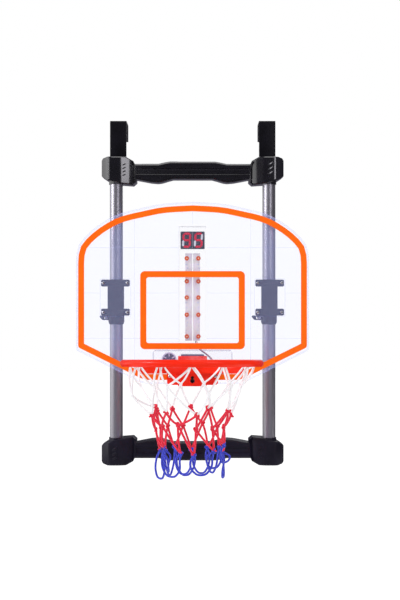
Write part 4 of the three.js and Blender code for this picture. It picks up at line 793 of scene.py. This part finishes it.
# Rim
# Ring, pegs, neck, mounting plate and sensor box are one moulding in glossy red-orange plastic. The ring
# is a channel, open below, that rises to the front, and a wall hangs from its rear half.
rim_plastic = finish("rim_plastic", colour(246, 32, 0), colour(252, 42, 2), (0.24, 0.34), 0.06, 0.0009, 0.00002,
                     Specular_IOR_Level=0.25)
ring_inner, ring_outer, ring_half, ring_wall = 0.125, 0.1415, 0.007, 0.0026
ring_tilt = math.radians(3.7)
rear_drop, rear_start = 0.022, math.radians(30.0)
peg_reach, peg_drop, peg_size, peg_tip = 0.007, 0.003, 0.0036, 0.004
shoulder, lip, lip_round = 0.0068, 0.0018, 0.0008
low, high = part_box("rim")
ring_y = low.y + ring_outer * math.cos(ring_tilt)
ring_z = -0.4028
ring_at = Matrix.Translation((0.0, ring_y, ring_z)) @ Matrix.Rotation(-ring_tilt, 4, "X")


def bow(middle, reach, start, end, steps):
    """Corners along part of an ellipse, from one angle to another."""
    angles = [math.radians(start + (end - start) * step / steps) for step in range(steps + 1)]
    return [(middle[0] + reach[0] * math.cos(angle), middle[1] + reach[1] * math.sin(angle)) for angle in angles]


section = [(ring_inner, -ring_half + 0.0004), (ring_inner, ring_half - lip)]
section += bow((ring_inner + lip, ring_half - lip), (lip, lip), 180, 90, 4)
section += bow((ring_outer - shoulder, 0.0), (shoulder, ring_half), 90, -48, 14)
section += bow((ring_outer - 0.0034, -ring_half + lip_round), (lip_round, lip_round), 0, -180, 4)
section += [(ring_outer - 0.0016 - ring_wall, 0.0), (ring_outer - shoulder, ring_half - ring_wall),
            (ring_inner + ring_wall, ring_half - ring_wall), (ring_inner + ring_wall, -ring_half + 0.0004)]
section += bow((ring_inner + ring_wall / 2, -ring_half + 0.0004), (ring_wall / 2, 0.0006), 0, -180, 4)[1:-1]
ring = turned(section, ring_at, steps=128, closed=True)

wall_angles = [rear_start + (math.pi - 2 * rear_start) * step / 48 for step in range(49)]
wall_line = [(ring_inner * math.cos(a), ring_inner * math.sin(a)) for a in wall_angles]
wall_line += [((ring_inner + ring_wall) * math.cos(a), (ring_inner + ring_wall) * math.sin(a))
              for a in reversed(wall_angles)]
rear_wall = placed(rounded(prism(wall_line, "z", -rear_drop, -ring_half + 0.002), 0.0006, crease=60.0), ring_at)

peg_root, peg_end, peg_hook = ring_inner + 0.001, ring_inner - peg_reach, ring_inner - peg_reach + 0.0018
peg_outline = [(peg_root, -peg_drop), (peg_hook, -peg_drop), (peg_hook, -peg_drop + peg_tip),
               (peg_end, -peg_drop + peg_tip), (peg_end, -peg_drop - peg_size), (peg_root, -peg_drop - peg_size)]
pegs = []
for column in range(12):
    peg = rounded(prism(peg_outline, "y", -peg_size / 2, peg_size / 2), 0.0005)
    pegs.append(placed(peg, ring_at @ Matrix.Rotation(column * math.tau / 12, 4, "Z")))

plate_thick, plate_lap, box_behind = 0.004, 0.001, -0.0875
plate_back = high.y
plate_front = plate_back - plate_thick
plate_split, plate_shoulder, tongue_top = -0.4245, -0.417, -0.398
plate_half, tongue_half, plate_corner = 0.0545, 0.031, 0.004
upper = rounded(prism([
    (-plate_half, plate_split), (plate_half, plate_split), (plate_half, plate_shoulder - plate_corner),
    (plate_half - plate_corner, plate_shoulder), (tongue_half, plate_shoulder), (tongue_half, tongue_top),
    (-tongue_half, tongue_top), (-tongue_half, plate_shoulder), (plate_corner - plate_half, plate_shoulder),
    (-plate_half, plate_shoulder - plate_corner),
], "y", plate_back, plate_front), 0.0006)


def ring_level(y):
    """The height of the tilted ring's middle at a distance from the door."""
    return ring_z + math.tan(ring_tilt) * (ring_y - y)


neck_start, neck_end, neck_low = plate_front - 0.016, ring_y + ring_inner + ring_wall - 0.0002, -0.421
neck = rounded(prism([
    (plate_back - plate_lap, tongue_top), (plate_front, tongue_top),
    (neck_start, ring_level(neck_start) + ring_half - 0.0004), (neck_end, ring_level(neck_end) + ring_half - 0.0004),
    (neck_end, ring_level(neck_end)), (neck_start, neck_low), (plate_front, plate_split + 0.0009),
    (plate_back - plate_lap, plate_split + 0.0009),
], "x", -tongue_half, tongue_half), 0.0008)
lower = joined_copy("rim")
bmesh.ops.bisect_plane(lower, geom=lower.verts[:] + lower.edges[:] + lower.faces[:], clear_outer=True,
                       plane_co=(0.0, 0.0, plate_split), plane_no=(0.0, 0.0, 1.0))
bmesh.ops.delete(lower, geom=[vert for vert in lower.verts if vert.co.y < box_behind], context="VERTS")
shown("orange_rim", together(ring, rear_wall, *pegs, upper, neck, rounded(lower, 0.0007)), rim_plastic,
      "board_carriage", ["rim"])

# Sensor window
# A keyhole of smoked plastic, pressed into the front of the rim's box, with the light sensor's board
# behind it.
smoked = finish("smoked", colour(10, 6, 8), colour(18, 12, 14), (0.08, 0.16), 0.004, 0.0005, 0.00001)
dressed("sensor_window", "keyhole_window", smoked, "board_carriage", 0.0003)

# Net
# Twisted cord in three colours, knotted by hand. White loops hang over the twelve pegs, red meshes follow,
# and blue loops close the net below. The cords keep a little slack between their knots.


def cord_with_painted_groove_shade(name, dark, light, pitch):
    """Twisted cord: strands that wind round it, with painted shade that darkens the grooves, and a soft fuzz."""
    material = bpy.data.materials.new(name)
    material.use_nodes = True
    tree = material.node_tree
    shader = tree.nodes["Principled BSDF"]
    place = node_in(tree, "ShaderNodeTexCoord").outputs
    parts = node_in(tree, "ShaderNodeSeparateXYZ", {"Vector": place["UV"]}).outputs
    round_it = node_in(tree, "ShaderNodeMath", {0: parts["X"], 1: 3 * math.tau}, operation="MULTIPLY").outputs[0]
    both = node_in(tree, "ShaderNodeMath", {0: parts["Y"], 1: math.tau / pitch, 2: round_it},
                   operation="MULTIPLY_ADD").outputs[0]
    wave = node_in(tree, "ShaderNodeMath", {0: both}, operation="SINE").outputs[0]
    strand = node_in(tree, "ShaderNodeMapRange", {"Value": wave, "From Min": -1.0}).outputs[0]
    fuzz = node_in(tree, "ShaderNodeTexNoise", {"Vector": place["Object"], "Scale": 2400.0, "Detail": 2.0}).outputs[0]
    height = node_in(tree, "ShaderNodeMath", {0: fuzz, 1: 0.35, 2: strand}, operation="MULTIPLY_ADD").outputs[0]
    # Painted shade: the colour runs from the dark tone in the grooves to the light tone on the strands.
    tones = node_in(tree, "ShaderNodeValToRGB", {"Fac": strand})
    for stop, tone in zip(tones.color_ramp.elements, (dark, light)):
        stop.color = tone
    bump = node_in(tree, "ShaderNodeBump", {"Height": height, "Strength": 1.0, "Distance": 0.00035})
    tree.links.new(tones.outputs["Color"], shader.inputs["Base Color"])
    tree.links.new(bump.outputs[0], shader.inputs["Normal"])
    shader.inputs["Roughness"].default_value = 0.8
    shader.inputs["Sheen Weight"].default_value = 0.2
    return material


net_radii = (0.122, 0.103, 0.08, 0.069, 0.064, 0.061)
net_drops = (0.001, 0.044, 0.094, 0.126, 0.173, 0.224)
pulled = {  # How far some knots are pulled aside and up, in millimetres, by row and column
    (1, 6): (-17, -18), (1, 8): (-19, 1), (1, 9): (6, -13),
    (2, 0): (-3, -7), (2, 6): (9, 8), (2, 7): (-7, -6), (2, 8): (-8, 0), (2, 9): (10, -4), (2, 10): (-9, 9),
    (2, 11): (0, 3),
    (3, 7): (-7, 5), (3, 8): (-8, 9), (3, 9): (-10, 0), (3, 10): (-9, 1), (3, 11): (-5, 1),
    (4, 7): (2, 8), (4, 8): (11, 0), (4, 9): (4, -3), (4, 10): (11, 5), (4, 11): (7, 15),
    (5, 5): (12, 8), (5, 7): (3, 5), (5, 8): (0, 12), (5, 9): (3, 10), (5, 10): (0, 22), (5, 11): (6, 30),
}
chooser = random.Random(21)
white_radius, red_radius, blue_radius = 0.0021, 0.0022, 0.0021
knots = {}
for row in range(1, 6):
    for column in range(12):
        angle = (column + (row % 2) / 2) * math.tau / 12
        x, y = net_radii[row] * math.cos(angle), ring_y + net_radii[row] * math.sin(angle)
        aside, up = pulled.get((row, column), (chooser.uniform(-4, 4), chooser.uniform(-5, 5)))
        knots[row, column] = Vector((x + aside / 1000, y, ring_level(y) - net_drops[row] + up / 1000))


def outward(point):
    """The level direction away from the middle of the net."""
    return Vector((point.x, point.y - ring_y, 0.0)).normalized()


def slack(start, end, sag, swell):
    """Points of a cord between two knots: its middle hangs a little and stands off the ball."""
    middle = (start + end) / 2
    out, side = outward(middle), outward(middle).cross(Vector((0.0, 0.0, 1.0)))
    shift = out * swell + side * chooser.uniform(-0.003, 0.003) - Vector((0.0, 0.0, sag))
    return [start, start.lerp(end, 0.3) + shift * 0.75, start.lerp(end, 0.7) + shift * 0.8, end]


def knot(bm, centre, size, radius):
    """An overhand knot: a closed trefoil of the cord itself, turned a little at random."""
    out = outward(centre)
    turn = out.to_track_quat("Z", "Y").to_matrix() @ Matrix.Rotation(chooser.uniform(0, math.tau), 3, "Z")
    points = []
    for step in range(14):
        t = math.tau * step / 14
        loop = Vector((math.sin(t) + 2 * math.sin(2 * t), math.cos(t) - 2 * math.cos(2 * t), -math.sin(3 * t)))
        points.append(centre + turn @ (loop * size / 6))
    cord(bm, points, radius, steps=3, sides=7, closed=True)


def tuft(bm, centre, radius, count):
    """Cut cord ends that stand out of a knot."""
    for _ in range(count):
        out = outward(centre) * chooser.uniform(0.3, 0.9)
        spread = Vector((chooser.uniform(-1, 1), 0.0, chooser.uniform(-0.4, 1.0)))
        way = (out + spread).normalized()
        reach = chooser.uniform(0.005, 0.0075)
        cord(bm, [centre, centre + way * reach * 0.6, centre + way * reach + Vector((0.0, 0.0, -0.0006))],
             radius, steps=3, sides=7)


peg_loop = (  # Across a peg and up, in millimetres
    (-3.9, -9.0), (-3.5, -4.6), (-2.3, -1.7), (0.0, -1.2), (2.3, -1.7), (3.5, -4.6), (3.9, -9.0))
foot_loop = (  # Shares of the way across a blue loop and down it
    (-1.08, 0.3), (-0.98, 0.66), (-0.5, 0.94), (0.0, 1.0), (0.5, 0.94), (0.98, 0.66), (1.08, 0.3))
foot_spread = 0.009
white, red, blue = bmesh.new(), bmesh.new(), bmesh.new()
for column in range(12):
    angle = column * math.tau / 12
    before, after = knots[1, (column - 1) % 12], knots[1, column]
    loop = []
    for across, height in peg_loop:
        flat = Matrix.Rotation(angle, 3, "Z") @ Vector((net_radii[0], across / 1000, height / 1000))
        loop.append(ring_at @ flat)
    way_in = slack(before, loop[0], 0.001, 0.003)
    way_out = slack(loop[-1], after, 0.001, 0.003)
    cord(white, way_in[:-1] + loop + way_out[1:], white_radius)
    for row in (1, 2, 3):
        bm, radius = (white, white_radius) if row == 1 else (red, red_radius)
        shift = 1 if row % 2 else -1
        for other in (column, (column + shift) % 12):
            sag = chooser.uniform(0.001, 0.004)
            cord(bm, slack(knots[row, column], knots[row + 1, other], sag, chooser.uniform(0.0, 0.004)), radius)
    first, last, foot = knots[4, column], knots[4, (column + 1) % 12], knots[5, column]
    side = outward(foot).cross(Vector((0.0, 0.0, 1.0))) * -0.5 * (last - first).length
    loop = [first]
    for across, share in foot_loop:
        start = first.lerp(last, 0.5 + across / 2)
        wide = Vector((across * foot_spread * outward(foot).x ** 2 * share, 0.0, 0.0))
        loop.append(Vector((foot.x, foot.y, start.z)).lerp(foot, share) + side * across + wide)
    cord(blue, loop + [last], blue_radius, steps=5)
    knot(white, knots[1, column], 0.005, white_radius * 0.9)
    knot(red, knots[2, column], 0.0082, red_radius * 0.9)
    tuft(red, knots[2, column], red_radius * 0.8, 3)
    knot(red, knots[3, column], 0.0078, red_radius * 0.9)
    knot(blue, knots[4, column], 0.0085, blue_radius * 0.95)
    tuft(red, knots[4, column] + Vector((0.0, 0.0, 0.002)), red_radius * 0.8, 1)
# Each cord's dark tone is painted shade in its grooves, and its light tone is the cord's colour.
cords = (("white", white, (252, 252, 255), (255, 255, 255)), ("red", red, (216, 8, 40), (252, 34, 72)),
         ("blue", blue, (34, 40, 168), (66, 82, 226)))
for shade, bm, dark, light in cords:
    shown("net_cords_" + shade, bm, cord_with_painted_groove_shade("cord_" + shade, colour(*dark), colour(*light), 5.0),
          "board_carriage", ["net_" + shade], crease=75.0)
